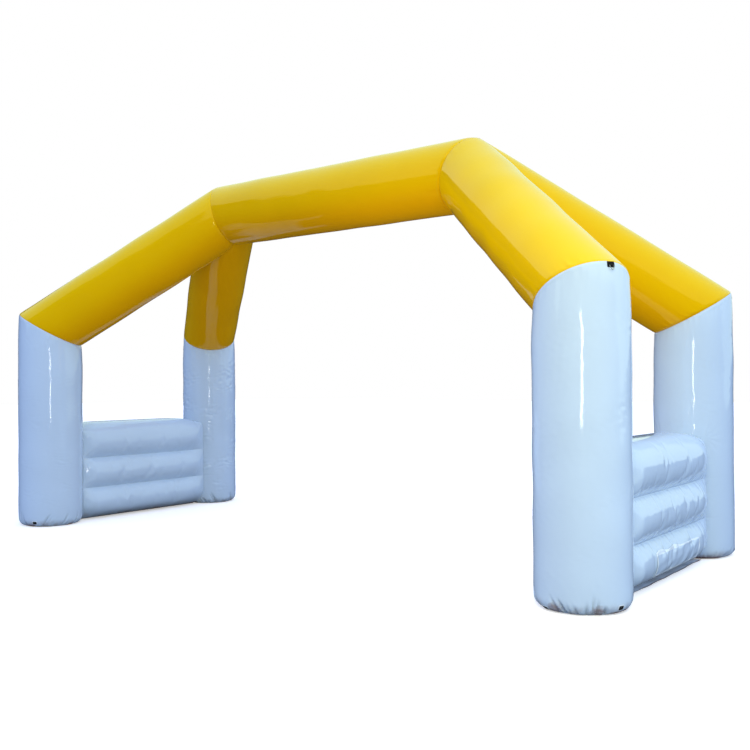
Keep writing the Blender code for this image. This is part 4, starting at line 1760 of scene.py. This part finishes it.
@dataclass(frozen=True)
class Patch:
    """Thin patch with round corners, laid on a curved skin.

    Attributes:
        width: Size across.
        height: Size up.
        thickness: Thickness away from its edges.
        corner: Radius of its corners.
        lift: Room between the patch and the skin.
        puff: How much thicker its middle is.
        step: Distance between its points.
    """

    width: float
    height: float
    thickness: float
    corner: float
    lift: float = GAP
    puff: float = 0.0
    step: float = 0.0012

    def outline(self) -> tuple[Array, Array, Array]:
        """Places across and up, and the distance of each from the edge, in metres."""
        across = np.linspace(-1.0, 1.0, int(self.width / self.step))
        upright = np.linspace(-1.0, 1.0, int(self.height / self.step))
        u, v = np.meshgrid(across, upright)
        x, y = u * self.width / 2, v * self.height / 2
        from_x = np.abs(x) - (self.width / 2 - self.corner)
        from_y = np.abs(y) - (self.height / 2 - self.corner)
        inside = (from_x > 0) & (from_y > 0)
        longest = np.maximum(from_x, from_y)
        length = np.hypot(from_x, from_y)
        scale = np.where(inside, longest / np.maximum(length, 1e-9), 1.0)
        x = np.where(inside, np.sign(x) * (self.width / 2 - self.corner + from_x * scale), x)
        y = np.where(inside, np.sign(y) * (self.height / 2 - self.corner + from_y * scale), y)
        edge = np.minimum(self.width / 2 * (1 - np.abs(u)), self.height / 2 * (1 - np.abs(v)))
        return x, y, edge

    def build(
        self, name: str, surface: Surface, frame: Matrix, place: Move
    ) -> Object:
        """Lay the patch on a skin.

        Args:
            name: Name of the piece.
            surface: The skin.
            frame: Frame of the patch's middle.
            place: How the finished points are moved to their corner.

        Returns:
            The new object.
        """
        x, y, edge = self.outline()
        found = surface.lay(frame, x, y)
        base, normal = found[..., :3], found[..., 3:]
        rounded = smooth(edge, -0.0004, self.thickness * 0.9)
        middle = self.puff * smooth(edge, 0.0, min(self.width, self.height) / 2.2)
        top = base + normal * (self.lift + self.thickness * (0.45 + 0.55 * rounded) + middle)[..., None]
        bottom = base + normal * self.lift
        return shell(name, place(top), place(bottom), np.stack((x, y), axis=-1))

    def box_lines(
        self,
        surface: Surface,
        frame: Matrix,
        place: Move,
        inset: float,
        cross: bool,
    ) -> list[tuple[Array, bool]]:
        """Lines of a box stitch, with or without its cross.

        Args:
            surface: The skin under the patch.
            frame: Frame of the patch's middle.
            place: How the finished points are moved to their corner.
            inset: Distance of the box from the patch's edge.
            cross: Whether the box is crossed.

        Returns:
            Each line's points, and whether it closes on itself.
        """
        wide, high = self.width / 2 - inset, self.height / 2 - inset
        lines = []
        for first, last in box_runs(wide, -high, high, cross):
            share = np.linspace(0.0, 1.0, 24)
            x = first[0] + (last[0] - first[0]) * share
            y = first[1] + (last[1] - first[1]) * share
            found = surface.lay(frame, x, y)
            lift = self.lift + self.thickness + 0.0002
            edge = np.minimum(self.width / 2 - np.abs(x), self.height / 2 - np.abs(y))
            lift = lift + self.puff * smooth(edge, 0.0, min(self.width, self.height) / 2.2)
            lines.append((place(found[:, :3] + found[:, 3:] * lift[:, None]), False))
        return lines


@dataclass
class GuyFitting:
    """Webbing patch, folded loop and D-ring below the seam at the top of a leg.

    Attributes:
        sizes: Driving sizes of the arch.
        corner: The leg's corner.
        patch: The webbing patch.
        turn: Direction of the fitting from the leg's bending plane.
        below_seam: Distance of the patch's middle below the seam.
        loop_width: Width of the loop's webbing.
        loop_thick: Thickness of the loop's webbing.
        loop_rise: Height of the loop above the ring's bar.
        loop_taper: Height where the loop's two layers come together.
        bar_below_middle: Distance of the ring's bar below the patch's middle.
        ring_inside: Inner width of the ring.
        ring_drop: How far the ring hangs below its bar.
        ring_wire: Thickness of the ring's wire.
        ring_lean: How far the ring leans out.
    """

    sizes: ArchSizes
    corner: Corner
    patch: Patch = Patch(0.062, 0.042, 0.002, 0.007)
    turn: float = math.pi / 25
    below_seam: float = 0.023
    loop_width: float = 0.028
    loop_thick: float = 0.0019
    loop_rise: float = 0.024
    loop_taper: float = 0.012
    bar_below_middle: float = 0.009
    ring_inside: float = 0.032
    ring_drop: float = 0.034
    ring_wire: float = 0.005
    ring_lean: float = math.radians(10)

    def frame(self, leg: Leg) -> Matrix:
        """Frame of the patch's middle on the front right leg."""
        normal = leg.seam().normal
        sizes = self.sizes
        seam_height = sizes.eaves_height - (
            (math.cos(leg.bend) * normal[0] + math.sin(leg.bend) * normal[1])
            / normal[2] * sizes.seam_radius * math.cos(self.turn)
        )
        angle = leg.bend + self.turn
        out = Vector((math.cos(angle), math.sin(angle), 0.0))
        start = Vector((sizes.leg_x, -sizes.leg_y, seam_height - self.below_seam)) + out
        return leg.surface.frame(start, -out)

    @property
    def bar_out(self) -> float:
        """Height of the ring's bar above the leg."""
        return 3 * GAP + self.patch.thickness + 0.002 + self.ring_wire / 2

    def loop(self) -> Grid:
        """Band of webbing, folded round the ring's bar, in the patch's frame."""
        reach = self.ring_wire / 2 + GAP + self.loop_thick / 2
        low, high = self.bar_out - reach, self.bar_out + reach
        joined = low + self.loop_thick + GAP
        middle = -self.bar_below_middle
        path = [(self.loop_rise + middle, low)]
        path += [(middle + self.loop_rise * share, low) for share in (0.75, 0.5, 0.25)]
        for turn in np.linspace(0.0, 180.0, 15):
            angle = math.radians(turn)
            path.append((middle - reach * math.sin(angle), self.bar_out - reach * math.cos(angle)))
        for share in np.linspace(0.0, 1.0, 8)[1:]:
            bent = share * share * (3 - 2 * share)
            path.append((middle + self.loop_taper * share, high + (joined - high) * bent))
        path += [(middle + self.loop_taper + (self.loop_rise - self.loop_taper) * share, joined)
                 for share in (0.25, 0.5, 0.75, 1.0)]
        points = np.array([(0.0, y, z) for y, z in path])
        return sweep(points, (1.0, 0.0, 0.0), band_section(self.loop_width, self.loop_thick), False)

    def ring(self) -> Grid:
        """D-ring of round wire, hanging from its bar and leaning out, in the patch's frame."""
        reach = (self.ring_inside + self.ring_wire) / 2
        stretch = (self.ring_drop - self.ring_wire / 2) / reach
        bend = 0.0035
        path = []
        for turn in np.linspace(186.0, 354.0, 44):
            angle = math.radians(turn)
            path.append((reach * math.cos(angle), reach * stretch * math.sin(angle)))
        for side, first in ((1, 0.0), (-1, 90.0)):
            for turn in np.linspace(first, first + 90.0, 6):
                angle = math.radians(turn)
                centre = side * (reach - bend)
                path.append((centre + bend * math.cos(angle), -bend + bend * math.sin(angle)))
        path = np.array(path)
        lean = math.cos(self.ring_lean), math.sin(self.ring_lean)
        rows = np.stack((path[:, 0], path[:, 1] * lean[0], -path[:, 1] * lean[1]), axis=1)
        rows += np.array((0.0, -self.bar_below_middle, self.bar_out))
        turns = np.linspace(0.0, 2 * math.pi, 15)[:-1]
        section = self.ring_wire / 2 * np.stack((np.cos(turns), np.sin(turns)), axis=1)
        return sweep(rows, (0.0, lean[1], lean[0]), section, True)

    def build(self, leg: Leg, finishes: Finishes, stitches: StitchRun) -> None:
        """Build the fitting on a leg.

        Args:
            leg: The built leg.
            finishes: The arch's finishes.
            stitches: The tree that lays stitches.
        """
        label = self.corner.label
        frame = self.frame(leg)
        place = self.corner.place
        patch = self.patch.build(f"guy_patch_{label}_webbing", leg.surface, frame, place)
        finish_piece(patch, Slot.WEBBING, finishes.webbing, [f"guy_patch_{label}"])
        grids = (self.loop(), self.ring())
        loop, ring = (
            grid.moved(lambda points: place(on_frame(frame, points))).build(f"guy_{part}_{label}_fine")
            for part, grid in zip(("loop", "ring"), grids)
        )
        finish_piece(loop, Slot.WEBBING, finishes.webbing, [f"guy_loop_{label}"])
        finish_piece(ring, Slot.STEEL, finishes.steel, [f"guy_ring_{label}"])
        lines = self.patch.box_lines(leg.surface, frame, place, 0.0035, False)
        front = self.bar_out - self.ring_wire / 2 + self.loop_thick + GAP
        bottom = self.loop_taper - self.bar_below_middle + 0.0015
        top = self.loop_rise - self.bar_below_middle - 0.0020
        wide = self.loop_width / 2 - 0.003
        for first, last in box_runs(wide, bottom, top, True):
            ends = np.array([(*first, front), (*last, front)])
            lines.append((place(on_frame(frame, ends)), False))
        stitches.sew(f"guy_stitches_{label}", lines, finishes.grey_thread, Slot.WEBBING, Stitch.PATCH)


@dataclass
class StakeTab:
    """Black webbing tab on a pale patch, sewn on the rim of a foot.

    Attributes:
        corner: The leg's corner.
        side: Name of the tab's place on the foot.
        turn: Direction of the tab from the leg's bending plane.
        height: Height of the tab's middle.
        tab: The black tab.
        under: The pale patch under it.
    """

    corner: Corner
    side: str
    turn: float
    height: float
    tab: Patch = Patch(0.045, 0.030, 0.0026, 0.009, lift=0.0012, puff=0.0012)
    under: Patch = Patch(0.060, 0.045, 0.0008, 0.012)

    # Height of a tab's middle, and of one that is tucked under the rim
    HEIGHT = 0.050
    TUCKED_HEIGHT = 0.019

    def build(self, leg: Leg, finishes: Finishes, stitches: StitchRun) -> None:
        """Build the tab on a leg.

        Args:
            leg: The built leg.
            finishes: The arch's finishes.
            stitches: The tree that lays stitches.
        """
        label = f"{self.side}_{self.corner.label}"
        angle = leg.bend + self.turn
        out = Vector((math.cos(angle), math.sin(angle), 0.0))
        start = Vector((leg.sizes.leg_x, -leg.sizes.leg_y, self.height)) + out
        frame = leg.surface.frame(start, -out)
        place = self.corner.place
        under = self.under.build(f"stake_patch_{label}", leg.surface, frame, place)
        finish_piece(under, Slot.WHITE, finishes.pale_patch_and_hem_highlight)
        tab = self.tab.build(f"stake_tab_{label}_webbing", leg.surface, frame, place)
        finish_piece(tab, Slot.WEBBING, finishes.webbing, [f"stake_tab_{label}"])
        lines = self.tab.box_lines(leg.surface, frame, place, 0.006, True)
        stitches.sew(f"stake_stitches_{label}", lines, finishes.grey_thread, Slot.WEBBING, Stitch.TAB)


@dataclass
class CoverFlap:
    """Cover flap with doubled edges on the lowest chamber of the right wall.

    Attributes:
        sizes: Driving sizes of the arch.
        cloth: Thickness of the cloth.
        hem: Width of the doubled edge.
        lift: Room between the flap and the wall.
        columns: Number of points across.
        rows: Number of points up.
    """

    sizes: ArchSizes
    cloth: float = 0.0011
    hem: float = 0.020
    lift: float = 0.0005
    columns: int = 200
    rows: int = 56

    # Place outside the right wall from which points come down to it
    OUTSIDE = 3.9

    def build(
        self, surface: Surface, finishes: Finishes, stitches: StitchRun, wall: Object
    ) -> None:
        """Lay the flap on the wall.

        Args:
            surface: The wall's skin.
            finishes: The arch's finishes.
            stitches: The tree that lays stitches.
            wall: The wall that the flap rests on; not used.
        """
        low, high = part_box("wall_flap")
        half = (high.y - low.y) / 2
        y = np.linspace(-half, half, self.columns)
        share = np.linspace(0.0, 1.0, self.rows)
        edge = 0.0080 * Waves(91, (0.24, 1.0), 9).at(y, 0.0 * y) - 0.006
        top = high.z + edge
        z = low.z + (top[None, :] - low.z) * share[:, None]
        across = np.broadcast_to(y[None, :], z.shape)
        frame = Matrix(((0, 0, 1, self.OUTSIDE), (1, 0, 0, 0), (0, 1, 0, 0), (0, 0, 0, 1)))
        found = surface.lay(frame, across, z, 0.0)
        base, normal = found[..., :3], found[..., 3:]
        from_side = half - np.abs(across)
        from_low = z - low.z
        from_top = top[None, :] - z
        nearest = np.minimum(np.minimum(from_side, from_low), from_top)
        doubled = 1.0 - smooth(nearest, self.hem - 0.0016, self.hem)
        rounded = 0.4 + 0.6 * smooth(nearest, -0.0005, 0.0022)
        loose = 0.0016 * (1.0 + Waves(92, (0.22, 0.10), 10).at(across, z)) * smooth(nearest, 0.0, 0.03)
        curl = 0.0032 * (1.0 - smooth(np.minimum(from_side, from_top), 0.0, self.hem * 1.2))
        curl *= 0.55 + 0.45 * Waves(93, (0.16, 0.2), 8).at(across, z)
        gap = self.lift + np.clip(loose + curl, 0.0, 0.011)
        thick = self.cloth * (1.0 + doubled * 0.9) * rounded
        piece = shell(
            "wall_flap_cloth",
            base + normal * (gap + thick)[..., None],
            base + normal * gap[..., None],
            np.stack((across, z), axis=-1),
        )
        # The doubled edges take the pale tape as a painted highlight, lighter than the cloth; the inside
        # takes the white cloth.
        piece.data.materials.append(finishes.pale_patch_and_hem_highlight)
        piece.data.materials.append(finishes.white)
        for face in piece.data.polygons:
            _, side, height = face.center
            inside = half - abs(side) > self.hem and low.z + self.hem < height < high.z - self.hem - 0.004
            face.material_index = int(inside)
        finish_piece(piece, Slot.WHITE, None, ["wall_flap"])
        lines = []
        for inset in (0.004, self.hem - 0.003):
            row_low = int(np.abs(share * (high.z - low.z) - inset).argmin())
            row_high = self.rows - 1 - row_low
            first = int(np.abs(y + half - inset).argmin())
            last = self.columns - 1 - first
            over = base + normal * (gap + thick + 0.0002)[..., None]
            lines += [(over[row, first:last + 1], False) for row in (row_low, row_high)]
            lines += [(over[row_low:row_high + 1, column], False) for column in (first, last)]
        stitches.sew("flap_stitches", lines, finishes.white_thread, Slot.WHITE, Stitch.HEM)


@dataclass
class GroundStrip:
    """Strip of cloth on the ground along the foot of the right wall.

    Attributes:
        cloth: Thickness of the cloth.
        hem: Width of the doubled outer edge.
        dirt_and_shadow: Width of the dark outer edge, a painted shadow line with dirt on it.
        tucked: How much wider than its solid it is, under the wall.
        drawn: How much narrower than its solid it is, outside.
    """

    cloth: float = 0.0011
    hem: float = 0.016
    dirt_and_shadow: float = 0.012
    tucked: float = 0.025
    drawn: float = 0.008

    def build(self, finishes: Finishes, stitches: StitchRun) -> None:
        """Lay the strip on the ground.

        Args:
            finishes: The arch's finishes.
            stitches: The tree that lays stitches.
        """
        low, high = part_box("ground_strip")
        low.x -= self.tucked
        high.x -= self.drawn
        y = np.linspace(low.y, high.y, 260)
        share = np.linspace(0.0, 1.0, 22)
        outer = high.x - 0.002 + 0.0030 * Waves(95, (0.5, 1.0), 8).at(y, 0.0 * y)
        x = low.x + (outer[None, :] - low.x) * share[:, None]
        along = np.broadcast_to(y[None, :], x.shape)
        from_out = outer[None, :] - x
        doubled = 1.0 - smooth(from_out, self.hem - 0.0014, self.hem)
        wave = Waves(96, (0.26, 0.20), 12).at(along, x)
        rise = 0.0016 * (1.0 + wave) * smooth(x, low.x + 0.01, high.x - 0.02)
        gap = 0.0002 + np.clip(rise, 0.0, 0.006)
        thick = self.cloth * (1.0 + 0.9 * doubled) * (0.4 + 0.6 * smooth(from_out, -0.0005, 0.002))
        top = np.stack((x, along, gap + thick), axis=-1)
        bottom = np.stack((x, along, gap), axis=-1)
        piece = shell("ground_strip_cloth", top, bottom, np.stack((along, x), axis=-1))
        # The strip's pale finish is painted light, far paler than the white cloth.
        piece.data.materials.append(finishes.strip)
        piece.data.materials.append(finishes.dirt_and_shadow)
        # The outer edge takes the dark edge finish, a painted shadow line with dirt on it.
        for face in piece.data.polygons:
            face.material_index = int(face.center.x > high.x - self.dirt_and_shadow)
        finish_piece(piece, Slot.WHITE, None, ["ground_strip"])
        lines = []
        for inset in (0.003, self.hem - 0.003):
            row = len(share) - 1 - int(round(inset / (high.x - low.x) * (len(share) - 1)))
            lines.append((top[row] + np.array((0.0, 0.0, 0.0002)), False))
        stitches.sew("strip_stitches", lines, finishes.white_thread, Slot.WHITE, Stitch.HEM)


class Studio:
    """Floor, light and camera."""

    # Camera: place, turn about the vertical, tilt and roll, and focal length
    CAMERA_PLACE = (6.035, -7.244, 1.595)
    CAMERA_YAW = 0.6522
    CAMERA_PITCH = 0.0088
    CAMERA_ROLL = -0.0059
    FOCAL_PIXELS = 902.6
    IMAGE_PIXELS = 750.0
    SENSOR_MM = 36.0

    # Light: the sky's soft light, what gloss mirrors above and below the skyline, and the ground
    SOFT_SKY = (0.724, 0.895, 1.353)
    MIRRORED_SKY = (0.88, 1.10, 0.88)
    DARK_GROUND = (0.03, 0.025, 0.02)
    GROUND_COLOUR = (0.48, 0.47, 0.45)
    SKYLINE = 0.285
    SKYLINE_TILT = 0.135
    SKYLINE_DIP = 0.24
    SKYLINE_TALL = 0.34
    SKYLINE_BEHIND = 0.215

    def build(self) -> None:
        """Build the floor, the sky, the lamps and the camera."""
        self.floor()
        self.sky()
        self.lamps()
        self.camera()
        bpy.context.scene.view_settings.view_transform = "Standard"

    def floor(self) -> None:
        """Make the plain pale floor."""
        mesh = bpy.data.meshes.new("floor")
        reach = 60.0
        mesh.from_pydata(
            [(-reach, -reach, 0.0), (reach, -reach, 0.0), (reach, reach, 0.0), (-reach, reach, 0.0)],
            [],
            [(0, 1, 2, 3)],
        )
        floor = bpy.data.objects.new("floor", mesh)
        bpy.context.scene.collection.objects.link(floor)
        graph = Graph("floor")
        graph.shader.inputs["Base Color"].default_value = (0.93, 0.91, 0.88, 1.0)
        graph.shader.inputs["Roughness"].default_value = 0.9
        graph.shader.inputs["Specular IOR Level"].default_value = 0.1
        graph.shader.inputs["Emission Color"].default_value = (1.0, 0.97, 0.93, 1.0)
        graph.shader.inputs["Emission Strength"].default_value = 0.42
        dusty = graph.add("ShaderNodeBsdfDiffuse")
        dusty.inputs["Color"].default_value = (*self.GROUND_COLOUR, 1.0)
        seen = graph.add("ShaderNodeLightPath")
        choose = graph.add("ShaderNodeMixShader")
        graph.join(seen.outputs["Is Camera Ray"], choose.inputs["Fac"])
        graph.join(dusty.outputs["BSDF"], choose.inputs[1])
        graph.join(graph.shader.outputs["BSDF"], choose.inputs[2])
        graph.join(choose.outputs["Shader"], graph.nodes["Material Output"].inputs["Surface"])
        mesh.materials.append(graph.material)
        floor.visible_glossy = False

    def sky(self) -> None:
        """Make a bright even sky above a darker skyline and ground."""
        world = bpy.data.worlds.new("sky")
        bpy.context.scene.world = world
        world.use_nodes = True
        world.node_tree.nodes.clear()
        graph = Nodes(world.node_tree.nodes, world.node_tree.links)
        seen = graph.add("ShaderNodeLightPath")
        mirrored = graph.blend(self.above_skyline(graph), self.DARK_GROUND, self.MIRRORED_SKY)
        whole = graph.blend(seen.outputs["Is Glossy Ray"], self.SOFT_SKY, mirrored)
        light = graph.add("ShaderNodeBackground")
        graph.join(whole, light.inputs["Color"])
        plain = graph.add("ShaderNodeBackground")
        plain.inputs["Color"].default_value = (1.0, 1.0, 1.0, 1.0)
        choose = graph.add("ShaderNodeMixShader")
        graph.join(seen.outputs["Is Camera Ray"], choose.inputs["Fac"])
        graph.join(light.outputs["Background"], choose.inputs[1])
        graph.join(plain.outputs["Background"], choose.inputs[2])
        leave = graph.add("ShaderNodeOutputWorld")
        graph.join(choose.outputs["Shader"], leave.inputs["Surface"])

    def above_skyline(self, graph: Nodes) -> Socket:
        """How far a direction lies above the skyline, which dips and has one tall stretch."""
        way = graph.add("ShaderNodeSeparateXYZ")
        graph.join(graph.add("ShaderNodeTexCoord").outputs["Generated"], way.inputs["Vector"])
        x, y, z = (way.outputs[name] for name in "XYZ")
        height = graph.calculate("MULTIPLY_ADD", x, -self.SKYLINE_TILT, self.SKYLINE)
        inwards = graph.ramp(x, -0.50, -0.36)
        outwards = graph.calculate("SUBTRACT", 1.0, inwards)
        deep = graph.calculate("SUBTRACT", 1.0, graph.ramp(y, -0.83, -0.60))
        deep = graph.calculate("MULTIPLY", deep, self.SKYLINE_DIP)
        dip = graph.calculate("MULTIPLY", deep, outwards)
        before = graph.calculate("SUBTRACT", 1.0, graph.ramp(y, -0.50, -0.20))
        left = graph.calculate("SUBTRACT", 1.0, graph.ramp(x, 0.0, 0.45))
        tall = graph.calculate("MULTIPLY", inwards, left)
        tall = graph.calculate("MULTIPLY", graph.calculate("MULTIPLY", tall, before), self.SKYLINE_TALL)
        behind = graph.calculate("MULTIPLY", graph.ramp(y, 0.20, 0.60), self.SKYLINE_BEHIND)
        height = graph.calculate("SUBTRACT", graph.calculate("SUBTRACT", height, dip), behind)
        height = graph.calculate("ADD", height, tall)
        return graph.ramp(graph.calculate("SUBTRACT", z, height), -0.006, 0.006)

    def lamp(
        self,
        name: str,
        place: Sequence[float],
        aim: Sequence[float],
        size: tuple[float, float],
        watts: float,
        colour: tuple[float, float, float],
        mirrored: bool,
    ) -> None:
        """Add one soft rectangular lamp.

        Args:
            name: Name of the lamp.
            place: Where it stands.
            aim: Point that it faces.
            size: Its width and height.
            watts: Its power.
            colour: Its colour.
            mirrored: Whether it only shows as a mirrored highlight, or else only as soft light.
        """
        data = bpy.data.lights.new(name, "AREA")
        data.shape = "RECTANGLE"
        data.size, data.size_y = size
        data.energy = watts
        data.color = colour
        lamp = bpy.data.objects.new(name, data)
        bpy.context.scene.collection.objects.link(lamp)
        away = Vector(place) - Vector(aim)
        lamp.matrix_world = Matrix.Translation(place) @ away.to_track_quat("Z", "Y").to_matrix().to_4x4()
        lamp.visible_glossy = mirrored
        lamp.visible_diffuse = not mirrored
        lamp.visible_camera = False

    def lamps(self) -> None:
        """Add three soft lamps and the narrow lamp beside the camera, which the gloss mirrors."""
        middle = (2.0, 0.0, 1.6)
        back_leg = (3.2, 1.2, 1.2)
        self.lamp("key lamp", (5.6, -5.4, 4.6), middle, (3.0, 3.0), 174.0, (1.0, 0.89, 0.28), False)
        self.lamp("end lamp", (10.0, -2.5, 4.6), middle, (4.0, 4.0), 124.0, (0.73, 0.93, 1.0), False)
        self.lamp("passage lamp", (0.6, -1.6, 1.8), back_leg, (1.5, 1.5), 17.0, (1.0, 0.94, 0.86), False)
        self.lamp("strip lamp", (6.3, -7.6, 1.9), (0.0, 0.0, 1.9), (0.6, 2.0), 60.0, (1.0, 1.0, 1.0), True)

    def camera(self) -> None:
        """Set the camera at the photograph's viewing angle."""
        yaw, pitch, roll = self.CAMERA_YAW, self.CAMERA_PITCH, self.CAMERA_ROLL
        level = Vector((math.cos(yaw), math.sin(yaw), 0.0))
        ahead = Vector((-math.sin(yaw) * math.cos(pitch), math.cos(yaw) * math.cos(pitch), math.sin(pitch)))
        upright = level.cross(ahead)
        right = level * math.cos(roll) + upright * math.sin(roll)
        up = upright * math.cos(roll) - level * math.sin(roll)
        data = bpy.data.cameras.new("camera")
        data.sensor_width = self.SENSOR_MM
        data.lens = self.FOCAL_PIXELS / self.IMAGE_PIXELS * self.SENSOR_MM
        data.clip_end = 200.0
        camera = bpy.data.objects.new("camera", data)
        bpy.context.scene.collection.objects.link(camera)
        turn = Matrix((right, up, -ahead)).transposed().to_4x4()
        camera.matrix_world = Matrix.Translation(self.CAMERA_PLACE) @ turn
        bpy.context.scene.camera = camera


def main() -> None:
    """Build the looks of the arch in order."""
    sizes = ArchSizes()
    finishes = Finishes()
    stitches = StitchRun()
    Studio().build()
    for corner in Corner:
        leg = Leg(sizes, corner)
        leg.build(finishes, stitches)
        GuyFitting(sizes, corner).build(leg, finishes, stitches)
        for side, turn in zip(("outer", "inner"), Leg.TAB_TURNS):
            tucked = side == "inner" and corner is Corner.FRONT_RIGHT
            height = StakeTab.TUCKED_HEIGHT if tucked else StakeTab.HEIGHT
            StakeTab(corner, side, turn, height).build(leg, finishes, stitches)
    RoofTubes(sizes).build(finishes, stitches)
    right_wall = EndWall(sizes, 1).build(finishes, stitches)
    EndWall(sizes, -1).build(finishes, stitches)
    CoverFlap(sizes).build(Surface.of_object(right_wall), finishes, stitches, right_wall)
    GroundStrip().build(finishes, stitches)
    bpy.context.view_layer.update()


if __name__ == "__main__":
    main()
